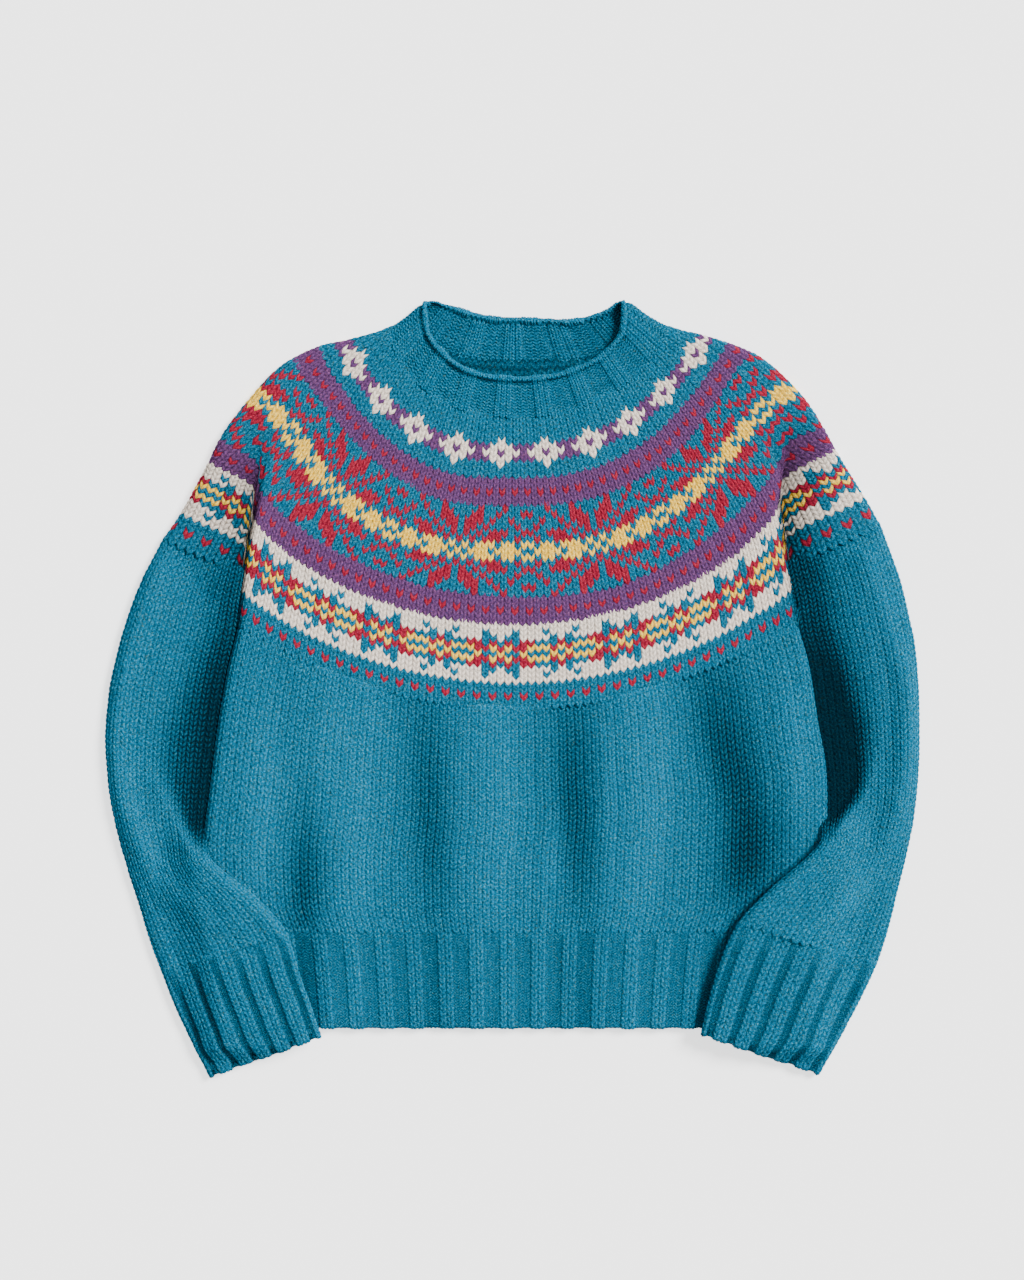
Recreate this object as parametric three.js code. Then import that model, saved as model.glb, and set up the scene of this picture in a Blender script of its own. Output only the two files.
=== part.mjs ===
// A circular-yoke jumper knitted in thick wool, laid flat on its back. Millimetres, +Z up.
// The neck points to +Y, the underside rests on Z = 0, and the two layers of cloth lie on each other.
import * as THREE from "three";

const { clamp, degToRad, lerp, smoothstep } = THREE.MathUtils;

// Cloth. A pair is the height of the two layers that lie on each other, at a place.
const wall = 3.6;
const seam = 0.35;
const seamFade = 3;
const foldHeight = 4.8;
const thinnestPair = 7.6;
const thickestPair = 11.0;
const bodyPair = 9.6;
const hemPair = 9.3;
const sleevePair = 9.4;
const cuffPair = 9.2;
const neckPair = 10.6;

// How far in plan the rounding of a folded edge reaches, and how a wall's free end is thinned
const yokeRounding = 9;
const bodyRounding = 9;
const underarmRounding = 4;
const hemRounding = 7;
const sleeveRounding = 8;
const cuffRounding = 7;
const yokeInset = 4.6;
const easedRim = 0.9;
const easedLength = 1.3;

// The yoke's courses are arcs round one centre, which lies above the neck.
const yokeCentre = new THREE.Vector2(2, 399);
const rimReach = 131.4;
const bandReach = 169.2;
const yokeReach = 418;

// Body and hem
const hemTop = -208.7;
const hemEnd = -289.4;
const hemRibs = 19;
const hemRibRise = 1.2;
const plainRibs = 4;

// Neckband and cuffs
const neckRibs = 9;
const bandSide = 0.08;
const neckRibRise = 1.0;
const rimRoll = 1.6;
const rimRollWidth = 7;
const cuffRibs = 6;
const cuffRibRise = 1.2;

// A forearm that crosses the body lies on it, and comes down to the surface some way outside its edge.
const restOnBody = 11.6;
const overhang = 13;
const comeDown = 18;

const colours = {
  turquoise: 0x1a8db3,
  purple: 0x7f559b,
};

// Courses of the yoke. Middle is the reach from the centre at the front's middle line. For each side,
// flank15 and flank30 are reaches at 15 and 30 degrees from it, and body, sleeve and edge are angle and
// reach of the armhole crease on the body, the crease on the sleeve, and the outer fold.
const courses = [
  {
    middle: 131.4,
    left: { flank15: 131, flank30: 124, body: [38, 117], sleeve: [43, 110], edge: [48, 103] },
    right: { flank15: 133, flank30: 134, body: [40, 130.5], sleeve: [47, 125], edge: [54.1, 117.5] },
  },
  {
    middle: 169.2,
    left: { flank15: 169, flank30: 164, body: [40, 156], sleeve: [45, 150], edge: [50.5, 143] },
    right: { flank15: 170, flank30: 170, body: [44, 166.5], sleeve: [50, 164], edge: [56.2, 160.5] },
  },
  {
    middle: 193,
    left: { flank15: 194, flank30: 189, body: [44, 181], sleeve: [49, 177.5], edge: [54.8, 174] },
    right: { flank15: 194, flank30: 192, body: [47, 187], sleeve: [53, 186.5], edge: [58.8, 186] },
  },
  {
    middle: 222.7,
    left: { flank15: 226, flank30: 219.5, body: [46, 208], sleeve: [51.5, 206], edge: [57.9, 201.6] },
    right: { flank15: 225, flank30: 222.7, body: [48, 214], sleeve: [54, 213], edge: [60.5, 211] },
  },
  {
    middle: 246.5,
    left: { flank15: 249.5, flank30: 240.6, body: [47, 228.8], sleeve: [52.5, 227.8], edge: [58.5, 227.5] },
    right: { flank15: 249, flank30: 246.5, body: [49, 232.7], sleeve: [55, 230.2], edge: [61.2, 234] },
  },
  {
    middle: 284.8,
    left: { flank15: 288, flank30: 284, body: [48.5, 265], sleeve: [52.5, 265], edge: [56.3, 273] },
    right: { flank15: 288, flank30: 281, body: [49, 268], sleeve: [54, 270], edge: [59.1, 282] },
  },
  {
    middle: 322.2,
    left: { flank15: 322, flank30: 322, body: [43.3, 317.5], sleeve: [46.5, 302.5], edge: [53.5, 314.5] },
    right: { flank15: 325, flank30: 319, body: [47, 308], sleeve: [50.2, 301], edge: [56.2, 317.7] },
  },
  {
    middle: 346,
    left: { flank15: 346, flank30: 346, body: [41.1, 339.7], sleeve: [44.3, 319.4], edge: [51.7, 334] },
    right: { flank15: 346, flank30: 344, body: [42.3, 334], sleeve: [45.7, 318.6], edge: [54.4, 338] },
  },
  {
    middle: 399.5,
    left: { flank15: 399.5, flank30: 399.5, body: [35.9, 398.7], sleeve: [39.2, 365.5], edge: [48.6, 384] },
    right: { flank15: 399.5, flank30: 399.5, body: [36.4, 400.5], sleeve: [40.1, 361], edge: [51.4, 386] },
  },
  {
    middle: 418,
    left: { flank15: 418, flank30: 419, body: [34.2, 421], sleeve: [37.6, 384.8], edge: [47.8, 407] },
    right: { flank15: 418, flank30: 419, body: [34.9, 423.5], sleeve: [38.5, 381.4], edge: [50.1, 408] },
  },
];

// How much higher the back's courses lie than the front's, at the rim and at the yoke's lower edge.
const backRise = [
  { middle: 131.4, centre: 48, flank15: 46, flank30: 36, body: 25, sleeve: 14, edge: 0 },
  { middle: 418, centre: 25, flank15: 19, flank30: 6, body: 0, sleeve: 0, edge: 0 },
];

// Thickness of the two layers of the yoke at the same places, flat and where the armhole crease is deepest.
const yokePair = {
  smooth: { centre: 9.6, flank15: 9.8, flank30: 10, body: 9.9, sleeve: 9.7, edge: 9.6 },
  creased: { centre: 9.6, flank15: 9.8, flank30: 10, body: 10.7, sleeve: 7.8, edge: 9.6 },
};
const creaseStart = 285;
const creaseFull = 350;

// Side folds of the body, from the armhole to the hem
const bodySides = [
  { y: 52, left: -234.6, right: 244.4 },
  { y: 23, left: -241.8, right: 252.6 },
  { y: -22, left: -250.3, right: 260 },
  { y: -80, left: -258, right: 268.6 },
  { y: -136, left: -263.9, right: 269 },
  { y: -179, left: -261.4, right: 266 },
  { y: -209, left: -250.3, right: 254.6 },
  { y: -290, left: -238.4, right: 242.7 },
];

// Soft folds in the body's front: middle, length, width, turn from +Y in degrees, and rise
const bodyFolds = [
  { x: -147, y: -110, long: 80, wide: 22, turn: 4, rise: 0.8 },
  { x: -73, y: -94, long: 95, wide: 16, turn: 2, rise: -0.9 },
  { x: -11, y: -100, long: 90, wide: 20, turn: 0, rise: 0.7 },
  { x: 57, y: -90, long: 85, wide: 16, turn: -2, rise: -0.8 },
  { x: 104, y: -110, long: 80, wide: 20, turn: -3, rise: 0.7 },
  { x: 190, y: -60, long: 70, wide: 18, turn: -12, rise: 0.6 },
  { x: -205, y: -50, long: 70, wide: 18, turn: 12, rise: 0.6 },
];

// Cross sections of each sleeve, from the yoke to the cuff's end: the outer and the inner fold
const sleeveSections = {
  left: [
    { outerX: -299.6, outerY: 125.7, innerX: -232, innerY: 95.6 },
    { outerX: -314, outerY: 98, innerX: -235, innerY: 74 },
    { outerX: -326.8, outerY: 66, innerX: -237.2, innerY: 51 },
    { outerX: -337, outerY: 32, innerX: -243.1, innerY: 23 },
    { outerX: -344.7, outerY: -6, innerX: -249.2, innerY: -9 },
    { outerX: -347.2, outerY: -41, innerX: -254.3, innerY: -45 },
    { outerX: -344.7, outerY: -81, innerX: -259.4, innerY: -81 },
    { outerX: -338, outerY: -118, innerX: -263.6, innerY: -113 },
    { outerX: -328.5, outerY: -152, innerX: -265.8, innerY: -136.5 },
    { outerX: -319, outerY: -182, innerX: -243.5, innerY: -154.5 },
    { outerX: -309, outerY: -215, innerX: -213, innerY: -179 },
    { outerX: -299, outerY: -242, innerX: -189, innerY: -209.5 },
    { outerX: -287.7, outerY: -271, innerX: -180.6, innerY: -238 },
    { outerX: -274, outerY: -300, innerX: -170.5, innerY: -266.5 },
    { outerX: -258, outerY: -332, innerX: -161, innerY: -295 },
  ],
  right: [
    { outerX: 314.9, outerY: 137.3, innerX: 239.5, innerY: 100.5 },
    { outerX: 329.4, outerY: 98, innerX: 244.6, innerY: 74 },
    { outerX: 337.5, outerY: 66, innerX: 247.5, innerY: 50.5 },
    { outerX: 344, outerY: 32, innerX: 254.4, innerY: 25 },
    { outerX: 346.6, outerY: -4, innerX: 259.3, innerY: -9 },
    { outerX: 347.2, outerY: -43, innerX: 264.4, innerY: -43 },
    { outerX: 346, outerY: -73, innerX: 269, innerY: -73 },
    { outerX: 342.6, outerY: -107, innerX: 271, innerY: -99 },
    { outerX: 337, outerY: -136.5, innerX: 271, innerY: -119 },
    { outerX: 329, outerY: -169, innerX: 249.5, innerY: -141.5 },
    { outerX: 320, outerY: -206, innerX: 217, innerY: -169.5 },
    { outerX: 309.8, outerY: -236.7, innerX: 189, innerY: -200 },
    { outerX: 297, outerY: -264, innerX: 177.2, innerY: -225.5 },
    { outerX: 281, outerY: -294.5, innerX: 167, innerY: -258 },
    { outerX: 261, outerY: -329.5, innerX: 158.5, innerY: -293 },
  ],
};
const cuffFrom = 11;

// Where each forearm starts to climb on to the body, and where it is up
const climb = {
  left: { from: -106, to: -136 },
  right: { from: -93, to: -120 },
};

// Soft folds in the sleeves, as for the body
const sleeveFolds = {
  left: [
    { x: -325, y: -110, long: 70, wide: 13, turn: 18, rise: 1.5 },
    { x: -292, y: -80, long: 55, wide: 12, turn: 16, rise: 1.1 },
    { x: -272, y: -110, long: 34, wide: 14, turn: 10, rise: -1.9 },
    { x: -300, y: 20, long: 60, wide: 16, turn: -14, rise: 1.0 },
    { x: -240, y: -190, long: 40, wide: 14, turn: 35, rise: 1.2 },
  ],
  right: [
    { x: 330, y: -60, long: 70, wide: 13, turn: -6, rise: 1.5 },
    { x: 300, y: -40, long: 50, wide: 12, turn: 0, rise: 1.1 },
    { x: 284, y: -85, long: 34, wide: 14, turn: -8, rise: -1.9 },
    { x: 300, y: 50, long: 55, wide: 16, turn: 14, rise: 1.0 },
    { x: 238, y: -180, long: 40, wide: 14, turn: -40, rise: 1.2 },
  ],
};

// Value of one column of a table at a place given by another column, in straight steps
function column(table, key, place, name) {
  const rising = table[0][key] < table[1][key];
  let row = 0;
  while (row < table.length - 2 && (rising ? place > table[row + 1][key] : place < table[row + 1][key])) {
    row += 1;
  }
  const share = clamp((place - table[row][key]) / (table[row + 1][key] - table[row][key]), 0, 1);
  return lerp(table[row][name], table[row + 1][name], share);
}

// Quarter-round rise of a folded edge: 0 at the fold and 1 a radius away from it
function roundOver(distance, radius) {
  const share = clamp(distance / radius, 0, 1);
  return Math.sqrt(1 - (1 - share) ** 2);
}

function foldsAt(folds, x, y) {
  let rise = 0;
  for (const fold of folds) {
    const turn = degToRad(fold.turn);
    const along = (y - fold.y) * Math.cos(turn) - (x - fold.x) * Math.sin(turn);
    const across = (x - fold.x) * Math.cos(turn) + (y - fold.y) * Math.sin(turn);
    rise += fold.rise * Math.exp(-((along / fold.long) ** 2) - (across / fold.wide) ** 2);
  }
  return rise;
}

// A rib stands up over the middle half of its pitch.
function ribAt(phase) {
  const share = phase - Math.floor(phase);
  return clamp((0.375 - Math.abs(share - 0.5)) / 0.25, 0, 1);
}

// Joins sections of outer and inner points to a closed wall. A tube's sections close on themselves.
function wallGeometry(outer, inner, isTube) {
  const rows = outer.length;
  const columns = outer[0].length;
  const points = [...outer.flat(), ...inner.flat()];
  const faces = [];
  const outerAt = (row, i) => row * columns + (i % columns);
  const innerAt = (row, i) => rows * columns + outerAt(row, i);
  const quad = (a, b, c, d) => faces.push(a, b, c, a, c, d);
  const steps = isTube ? columns : columns - 1;
  for (let i = 0; i < steps; i += 1) {
    for (let row = 0; row < rows - 1; row += 1) {
      quad(outerAt(row, i), outerAt(row + 1, i), outerAt(row + 1, i + 1), outerAt(row, i + 1));
      quad(innerAt(row, i), innerAt(row, i + 1), innerAt(row + 1, i + 1), innerAt(row + 1, i));
    }
    quad(outerAt(0, i), outerAt(0, i + 1), innerAt(0, i + 1), innerAt(0, i));
    const last = rows - 1;
    quad(outerAt(last, i), innerAt(last, i), innerAt(last, i + 1), outerAt(last, i + 1));
  }
  if (!isTube) {
    const end = columns - 1;
    for (let row = 0; row < rows - 1; row += 1) {
      quad(outerAt(row, 0), innerAt(row, 0), innerAt(row + 1, 0), outerAt(row + 1, 0));
      quad(outerAt(row, end), outerAt(row + 1, end), innerAt(row + 1, end), innerAt(row, end));
    }
  }
  const geometry = new THREE.BufferGeometry();
  const positions = points.flatMap((point) => [point.x, point.y, point.z]);
  geometry.setAttribute("position", new THREE.Float32BufferAttribute(positions, 3));
  geometry.setIndex(faces);
  geometry.computeVertexNormals();
  return geometry;
}

function knit(name, geometry, colour = colours.turquoise) {
  const material = new THREE.MeshStandardMaterial({ color: colour, roughness: 0.95, metalness: 0 });
  const mesh = new THREE.Mesh(geometry, material);
  mesh.name = name;
  return mesh;
}

// Stops of one course from its left fold to its right fold, each with a signed angle, a reach and a place
function courseStops(middle) {
  const at = Math.max(0, courses.findIndex((row) => row.middle >= middle) - 1);
  const low = courses[middle > yokeReach ? courses.length - 2 : at];
  const high = courses[courses.indexOf(low) + 1];
  const share = (middle - low.middle) / (high.middle - low.middle);
  const sideStops = (side, sign) => {
    const stop = (place) => ({
      place,
      angle: sign * lerp(low[side][place][0], high[side][place][0], share),
      reach: lerp(low[side][place][1], high[side][place][1], share),
    });
    const flank = (place, angle) => ({
      place,
      angle: sign * angle,
      reach: lerp(low[side][place], high[side][place], share),
    });
    return [stop("edge"), stop("sleeve"), stop("body"), flank("flank30", 30), flank("flank15", 15)];
  };
  const centre = { place: "centre", angle: 0, reach: middle };
  return [...sideStops("left", -1), centre, ...sideStops("right", 1).reverse()];
}

// One side of a course as a line of places: the point in plan and its thickness, by shares of each stretch
function courseLine(middle, stretches, isBack) {
  const stops = courseStops(middle);
  const crease = smoothstep(middle, creaseStart, creaseFull);
  for (const stop of stops) {
    stop.reach -= isBack ? column(backRise, "middle", middle, stop.place) : 0;
    stop.pair = lerp(yokePair.smooth[stop.place], yokePair.creased[stop.place], crease);
  }
  const fromFold = (list) => stretches.flatMap((shares, i) => (
    shares.map((share) => blendStops(list[i], list[i + 1], share))
  ));
  const left = fromFold(stops);
  const right = fromFold([...stops].reverse()).reverse();
  const centre = blendStops(stops[stretches.length], stops[stretches.length], 0);
  return withEdgeDistance([...left, centre, ...right]);
}

function blendStops(from, to, share) {
  const angle = degToRad(lerp(from.angle, to.angle, share));
  const reach = lerp(from.reach, to.reach, share);
  return {
    x: yokeCentre.x + reach * Math.sin(angle),
    y: yokeCentre.y - reach * Math.cos(angle),
    pair: lerp(from.pair, to.pair, share),
  };
}

// Adds to each point of a line its distance to the line's nearer end
function withEdgeDistance(line) {
  let length = 0;
  line.forEach((point, i) => {
    length += i === 0 ? 0 : Math.hypot(point.x - line[i - 1].x, point.y - line[i - 1].y);
    point.run = length;
  });
  for (const point of line) {
    point.edge = Math.min(point.run, length - point.run);
  }
  return line;
}

// Point at a run along a line
function alongLine(line, run) {
  let i = 1;
  while (i < line.length - 1 && line[i].run < run) {
    i += 1;
  }
  const share = (run - line[i - 1].run) / (line[i].run - line[i - 1].run);
  const blend = (key) => lerp(line[i - 1][key], line[i][key], share);
  return { x: blend("x"), y: blend("y"), pair: blend("pair"), run, edge: 0 };
}

// Inner line of a wall: the same places, but near both folds drawn in by the wall's thickness
function drawnIn(line, inset) {
  const length = line.at(-1).run;
  const pull = (run) => inset * Math.max(0, 1 - run / (3 * inset));
  return line.map((point) => {
    const run = point.run + pull(point.run) - pull(length - point.run);
    const moved = alongLine(line, run);
    moved.edge = Math.min(run, length - run) - inset;
    moved.pair = point.pair;
    return moved;
  });
}

// Height of a layer's outer or inner face at a point, over the floor that it has there. Ease thins the
// wall at a free end, and raised is what a rib or a rolled rim adds outside.
function faceHeight(point, { isTop, isInner, radius, floor = 0, ease = 0, raised = 0 }) {
  const middle = foldHeight;
  const flat = isTop ? point.pair : 0;
  const inward = isTop ? -1 : 1;
  const offset = isInner ? wall - ease : ease;
  const roundRadius = isInner ? Math.max(radius - wall, 1) : radius;
  const outerRise = isTop && !isInner ? raised : 0;
  const target = flat + inward * offset + outerRise;
  return floor + middle + (target - middle) * roundOver(point.edge, roundRadius);
}

// One section of a whole tube: the top layer from left to right, then the bottom layer back
function tubeSection(topLine, bottomLine, options) {
  const { inset, floorAt = () => 0, raisedAt = () => 0, radius, ease } = options;
  const layer = (line, isTop, isInner) =>
    (isInner ? drawnIn(line, inset) : line).map((point, i) => {
      const floor = floorAt(point.x, point.y);
      const raised = raisedAt(i);
      const z = faceHeight(point, { isTop, isInner, radius, floor, ease, raised });
      return new THREE.Vector3(point.x, point.y, z);
    });
  const loop = (isInner) => {
    const top = layer(topLine, true, isInner);
    const bottom = layer(bottomLine, false, isInner).reverse();
    return [...top, ...bottom.slice(1, -1)];
  };
  return { outer: loop(false), inner: loop(true) };
}

function tube(sections) {
  return wallGeometry(
    sections.map((section) => section.outer),
    sections.map((section) => section.inner),
    true,
  );
}

// Places on each stretch of a course, from the outer fold to the middle line: fold to sleeve crease,
// crease, crease to 30 degrees, 30 to 15 degrees, and 15 degrees to the middle
const frontStretches = [[0, 0.03, 0.1, 0.3, 0.65], [0], [0, 0.5], [0, 0.34, 0.67], [0, 0.34, 0.67]];
const backStretches = [[0, 0.03, 0.1, 0.4], [0], [0], [0, 0.5], [0, 0.5]];

function yokePiece() {
  const between = [181, 193, 208, 222.7, 246.5, 265, 284.8, 303, 322.2, 346, 372, 399.5];
  return tube([bandReach + seam, ...between, yokeReach].map((middle) => {
    const top = courseLine(middle, frontStretches, false);
    const bottom = courseLine(middle, backStretches, true);
    return tubeSection(top, bottom, { inset: yokeInset, radius: yokeRounding, ease: 0 });
  }));
}

// Line of the neckband: the yoke's places near the folds, and between them as many as its ribs need
function bandLine(middle, ribs, isBack) {
  const course = courseLine(middle, isBack ? backStretches : frontStretches, isBack);
  const length = course.at(-1).run;
  const sideCount = frontStretches[0].length;
  const sides = [...course.slice(0, sideCount), ...course.slice(-sideCount)].map((point) => point.run);
  const between = ribShares(ribs, []).filter((share) => share > bandSide && share < 1 - bandSide);
  const runs = [...sides, ...between.map((share) => share * length)].sort((a, b) => a - b);
  return runs.map((run) => ({
    ...alongLine(course, run),
    edge: Math.min(run, length - run),
    share: run / length,
  }));
}

// Shares across a ribbed piece: its rounded sides, and four places for each rib
function ribShares(ribs, sides) {
  const shares = [...sides, ...sides.map((share) => 1 - share)];
  for (let i = 0; i < 4 * ribs; i += 1) {
    shares.push((i + 0.5) / (4 * ribs));
  }
  return shares.sort((a, b) => a - b);
}

function neckbandPiece() {
  const rows = [
    { middle: rimReach, ease: easedRim },
    { middle: rimReach + easedLength, ease: 0 },
    { middle: rimReach + rimRollWidth - 1, ease: 0 },
    { middle: rimReach + rimRollWidth + 1, ease: 0 },
    { middle: lerp(rimReach, bandReach, 0.6), ease: 0 },
    { middle: bandReach, ease: 0 },
  ];
  return tube(rows.map(({ middle, ease }) => {
    const top = bandLine(middle, neckRibs, false);
    const bottom = bandLine(middle, plainRibs, true);
    const isRoll = middle < rimReach + rimRollWidth;
    const raisedAt = (i) => (isRoll ? rimRoll : neckRibRise * ribAt((top[i]?.share ?? 0) * neckRibs));
    for (const point of top) {
      point.pair = neckPair;
    }
    return tubeSection(top, bottom, { inset: yokeInset, radius: yokeRounding, ease, raisedAt });
  }));
}

const sideAt = (y, side) => column(bodySides, "y", y, side);

// One panel of the body as a wall between its side seams: rows of lines, each from left to right
function panelGeometry(rows, isFront) {
  const section = (row, isInner) => {
    const line = withEdgeDistance(row.line);
    return (isInner ? drawnIn(line, wall) : line).map((point, i) => {
      const raised = row.raisedAt ? row.raisedAt(row.line[i].share) : 0;
      const z = faceHeight(point, { ...row, isTop: isFront, isInner, raised });
      const gap = (seam / 2) * (1 - clamp(point.edge / seamFade, 0, 1));
      return new THREE.Vector3(point.x, point.y, isFront ? z + gap : z - gap);
    });
  };
  const outer = rows.map((row) => section(row, false));
  const inner = rows.map((row) => section(row, true));
  const geometry = wallGeometry(outer, inner, false);
  return isFront ? geometry : turnedInsideOut(geometry);
}

function turnedInsideOut(geometry) {
  const faces = geometry.getIndex().array;
  for (let i = 0; i < faces.length; i += 3) {
    [faces[i], faces[i + 1]] = [faces[i + 1], faces[i]];
  }
  geometry.computeVertexNormals();
  return geometry;
}

const bodyPairAt = (x, y) => clamp(bodyPair + foldsAt(bodyFolds, x, y), thinnestPair, thickestPair);

// Body panel between the yoke's lower edge and the hem. Its first row follows the yoke's edge.
function bodyPanel(isFront) {
  const stretches = isFront ? frontStretches : backStretches;
  const course = courseLine(yokeReach + seam, stretches, !isFront);
  const sleevePlaces = stretches[0].length + stretches[1].length;
  const runs = course.slice(sleevePlaces, -sleevePlaces).map((point) => point.run);
  const [first, last] = [runs[0], runs.at(-1)];
  const between = isFront ? runs.slice(1).map((run, i) => (run + runs[i]) / 2) : [];
  const sides = [0.8, 3, 8];
  runs.push(...between, ...sides.map((side) => first + side), ...sides.map((side) => last - side));
  const top = runs.sort((a, b) => a - b).map((run) => alongLine(course, run));
  const steps = isFront ? 11 : 6;
  const rows = [];
  for (let row = 0; row <= steps; row += 1) {
    const down = row / steps;
    const line = top.map((point) => {
      const [left, right] = [sideAt(point.y, "left"), sideAt(point.y, "right")];
      const y = lerp(point.y - seam, hemTop, down);
      const x = lerp(sideAt(y, "left"), sideAt(y, "right"), (point.x - left) / (right - left));
      return { x, y, pair: bodyPairAt(x, y) };
    });
    rows.push({ line, radius: lerp(underarmRounding, bodyRounding, Math.min(1, 3 * down)), ease: 0 });
  }
  return panelGeometry(rows, isFront);
}

// Hem rib: the front's ribs stand up, and the back's underside rests flat
function hemPanel(isFront) {
  const raisedAt = (share) => (isFront ? hemRibRise * ribAt(share * hemRibs) : 0);
  const rows = [
    { y: hemTop - seam, ease: 0 },
    { y: lerp(hemTop, hemEnd, 0.5), ease: 0 },
    { y: hemEnd + easedLength, ease: 0 },
    { y: hemEnd, ease: easedRim },
  ].map(({ y, ease }) => ({
    line: ribShares(isFront ? hemRibs : plainRibs, [0, 0.0016, 0.006]).map((share) => {
      return { x: lerp(sideAt(y, "left"), sideAt(y, "right"), share), y, pair: hemPair, share };
    }),
    radius: hemRounding,
    ease,
    raisedAt,
  }));
  return panelGeometry(rows, isFront);
}

// Height of what lies under a forearm at a place in plan
function restingHeight(side, x, y) {
  const inside = side === "left" ? x - sideAt(y, "left") : sideAt(y, "right") - x;
  const overSide = smoothstep(inside, -overhang - comeDown, -overhang);
  const overHem = smoothstep(y - hemEnd, -overhang - comeDown, -overhang);
  const up = 1 - smoothstep(y, climb[side].to, climb[side].from);
  return restOnBody * overSide * overHem * up;
}

// Line across a sleeve at a place in its table, from the lower x to the higher
function sleeveLine(side, place, shares) {
  const table = sleeveSections[side].map((row, i) => ({ ...row, place: i }));
  const value = (name) => column(table, "place", place, name);
  const outer = { x: value("outerX"), y: value("outerY") };
  const inner = { x: value("innerX"), y: value("innerY") };
  const [from, to] = side === "left" ? [outer, inner] : [inner, outer];
  return withEdgeDistance(shares.map((share) => {
    const x = lerp(from.x, to.x, share);
    const y = lerp(from.y, to.y, share);
    return { x, y, pair: sleevePairAt(side, x, y), share };
  }));
}

function sleevePairAt(side, x, y) {
  return clamp(sleevePair + foldsAt(sleeveFolds[side], x, y), thinnestPair, thickestPair);
}

// A sleeve's first line follows the yoke's lower edge from the outer fold to the armhole crease.
function sleeveStart(side, shares) {
  const course = courseLine(yokeReach + 2 * seam, frontStretches, false);
  const length = course.at(-1).run;
  const creaseRun = course[frontStretches[0].length].run;
  const farCreaseRun = course[course.length - 1 - frontStretches[0].length].run;
  const [from, to] = side === "left" ? [0, creaseRun - 2 * seam] : [farCreaseRun + 2 * seam, length];
  return withEdgeDistance(shares.map((share) => {
    const { x, y } = alongLine(course, lerp(from, to, share));
    return { x, y, pair: sleevePairAt(side, x, y), share };
  }));
}

const sleeveShares = [0, 0.012, 0.04, 0.1, 0.2, 0.32, 0.44, 0.56, 0.68, 0.8, 0.9, 0.96, 0.988, 1];
const underShares = [0, 0.012, 0.04, 0.1, 0.2, 0.3, 0.4, 0.5, 0.6, 0.7, 0.8, 0.9, 0.96, 0.988, 1];

function sleevePiece(side) {
  const floorAt = (x, y) => restingHeight(side, x, y);
  const options = { inset: wall, radius: sleeveRounding, ease: 0, floorAt };
  const sections = [tubeSection(sleeveStart(side, sleeveShares), sleeveStart(side, underShares), options)];
  for (let place = 1; place <= cuffFrom; place += 1) {
    const top = sleeveLine(side, place, sleeveShares);
    const bottom = sleeveLine(side, place, underShares);
    sections.push(tubeSection(top, bottom, options));
  }
  return tube(sections);
}

function cuffPiece(side) {
  const floorAt = (x, y) => restingHeight(side, x, y);
  const last = sleeveSections[side].length - 1;
  const rows = [
    { place: cuffFrom + 0.012, ease: 0 },
    { place: cuffFrom + 0.7, ease: 0 },
    { place: cuffFrom + 1.4, ease: 0 },
    { place: cuffFrom + 2.2, ease: 0 },
    { place: last - 0.04, ease: 0 },
    { place: last, ease: easedRim },
  ];
  return tube(rows.map(({ place, ease }) => {
    const top = sleeveLine(side, place, ribShares(cuffRibs, [0, 0.01]));
    const bottom = sleeveLine(side, place, underShares);
    for (const point of [...top, ...bottom]) {
      point.pair = cuffPair;
    }
    const raisedAt = (i) => cuffRibRise * ribAt((top[i]?.share ?? 0) * cuffRibs);
    return tubeSection(top, bottom, { inset: wall, radius: cuffRounding, ease, floorAt, raisedAt });
  }));
}

const jumper = new THREE.Group();
jumper.add(
  knit("yoke", yokePiece(), colours.purple),
  knit("neckband", neckbandPiece()),
  knit("front", bodyPanel(true)),
  knit("back", bodyPanel(false)),
  knit("hem_rib_front", hemPanel(true)),
  knit("hem_rib_back", hemPanel(false)),
  knit("sleeve_left", sleevePiece("left")),
  knit("sleeve_right", sleevePiece("right")),
  knit("cuff_left", cuffPiece("left")),
  knit("cuff_right", cuffPiece("right")),
);

export default jumper;
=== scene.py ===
"""A jumper knitted in thick heather wool, laid flat on its back, with its stitches and patterned yoke.

Sizes here are in millimetres, with +Y towards the neck and +Z up, and become metres in each mesh.
"""
import math

import bpy
import numpy as np
from bpy.props import FloatProperty, FloatVectorProperty, IntProperty, PointerProperty, StringProperty
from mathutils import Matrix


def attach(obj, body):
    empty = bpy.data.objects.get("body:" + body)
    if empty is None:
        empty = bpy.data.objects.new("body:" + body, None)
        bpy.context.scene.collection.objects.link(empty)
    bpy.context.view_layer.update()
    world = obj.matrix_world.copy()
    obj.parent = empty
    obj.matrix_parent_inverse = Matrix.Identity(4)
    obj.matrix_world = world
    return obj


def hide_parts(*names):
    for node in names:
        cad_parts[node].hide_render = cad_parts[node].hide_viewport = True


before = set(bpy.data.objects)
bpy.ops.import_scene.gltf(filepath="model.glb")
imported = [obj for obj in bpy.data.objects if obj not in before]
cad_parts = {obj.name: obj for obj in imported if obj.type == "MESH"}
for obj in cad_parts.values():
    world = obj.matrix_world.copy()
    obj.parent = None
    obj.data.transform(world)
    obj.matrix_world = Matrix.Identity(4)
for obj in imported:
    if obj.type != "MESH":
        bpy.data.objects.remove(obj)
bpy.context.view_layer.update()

bl_info = {
    "name": "Fair Isle Jumper",
    "version": (1, 0, 0),
    "blender": (4, 5, 0),
    "location": "3D View > Sidebar > Jumper",
    "description": "Knits a jumper with a patterned circular yoke over its solids",
    "category": "Object",
}

TO_METRES = 0.001

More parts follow.
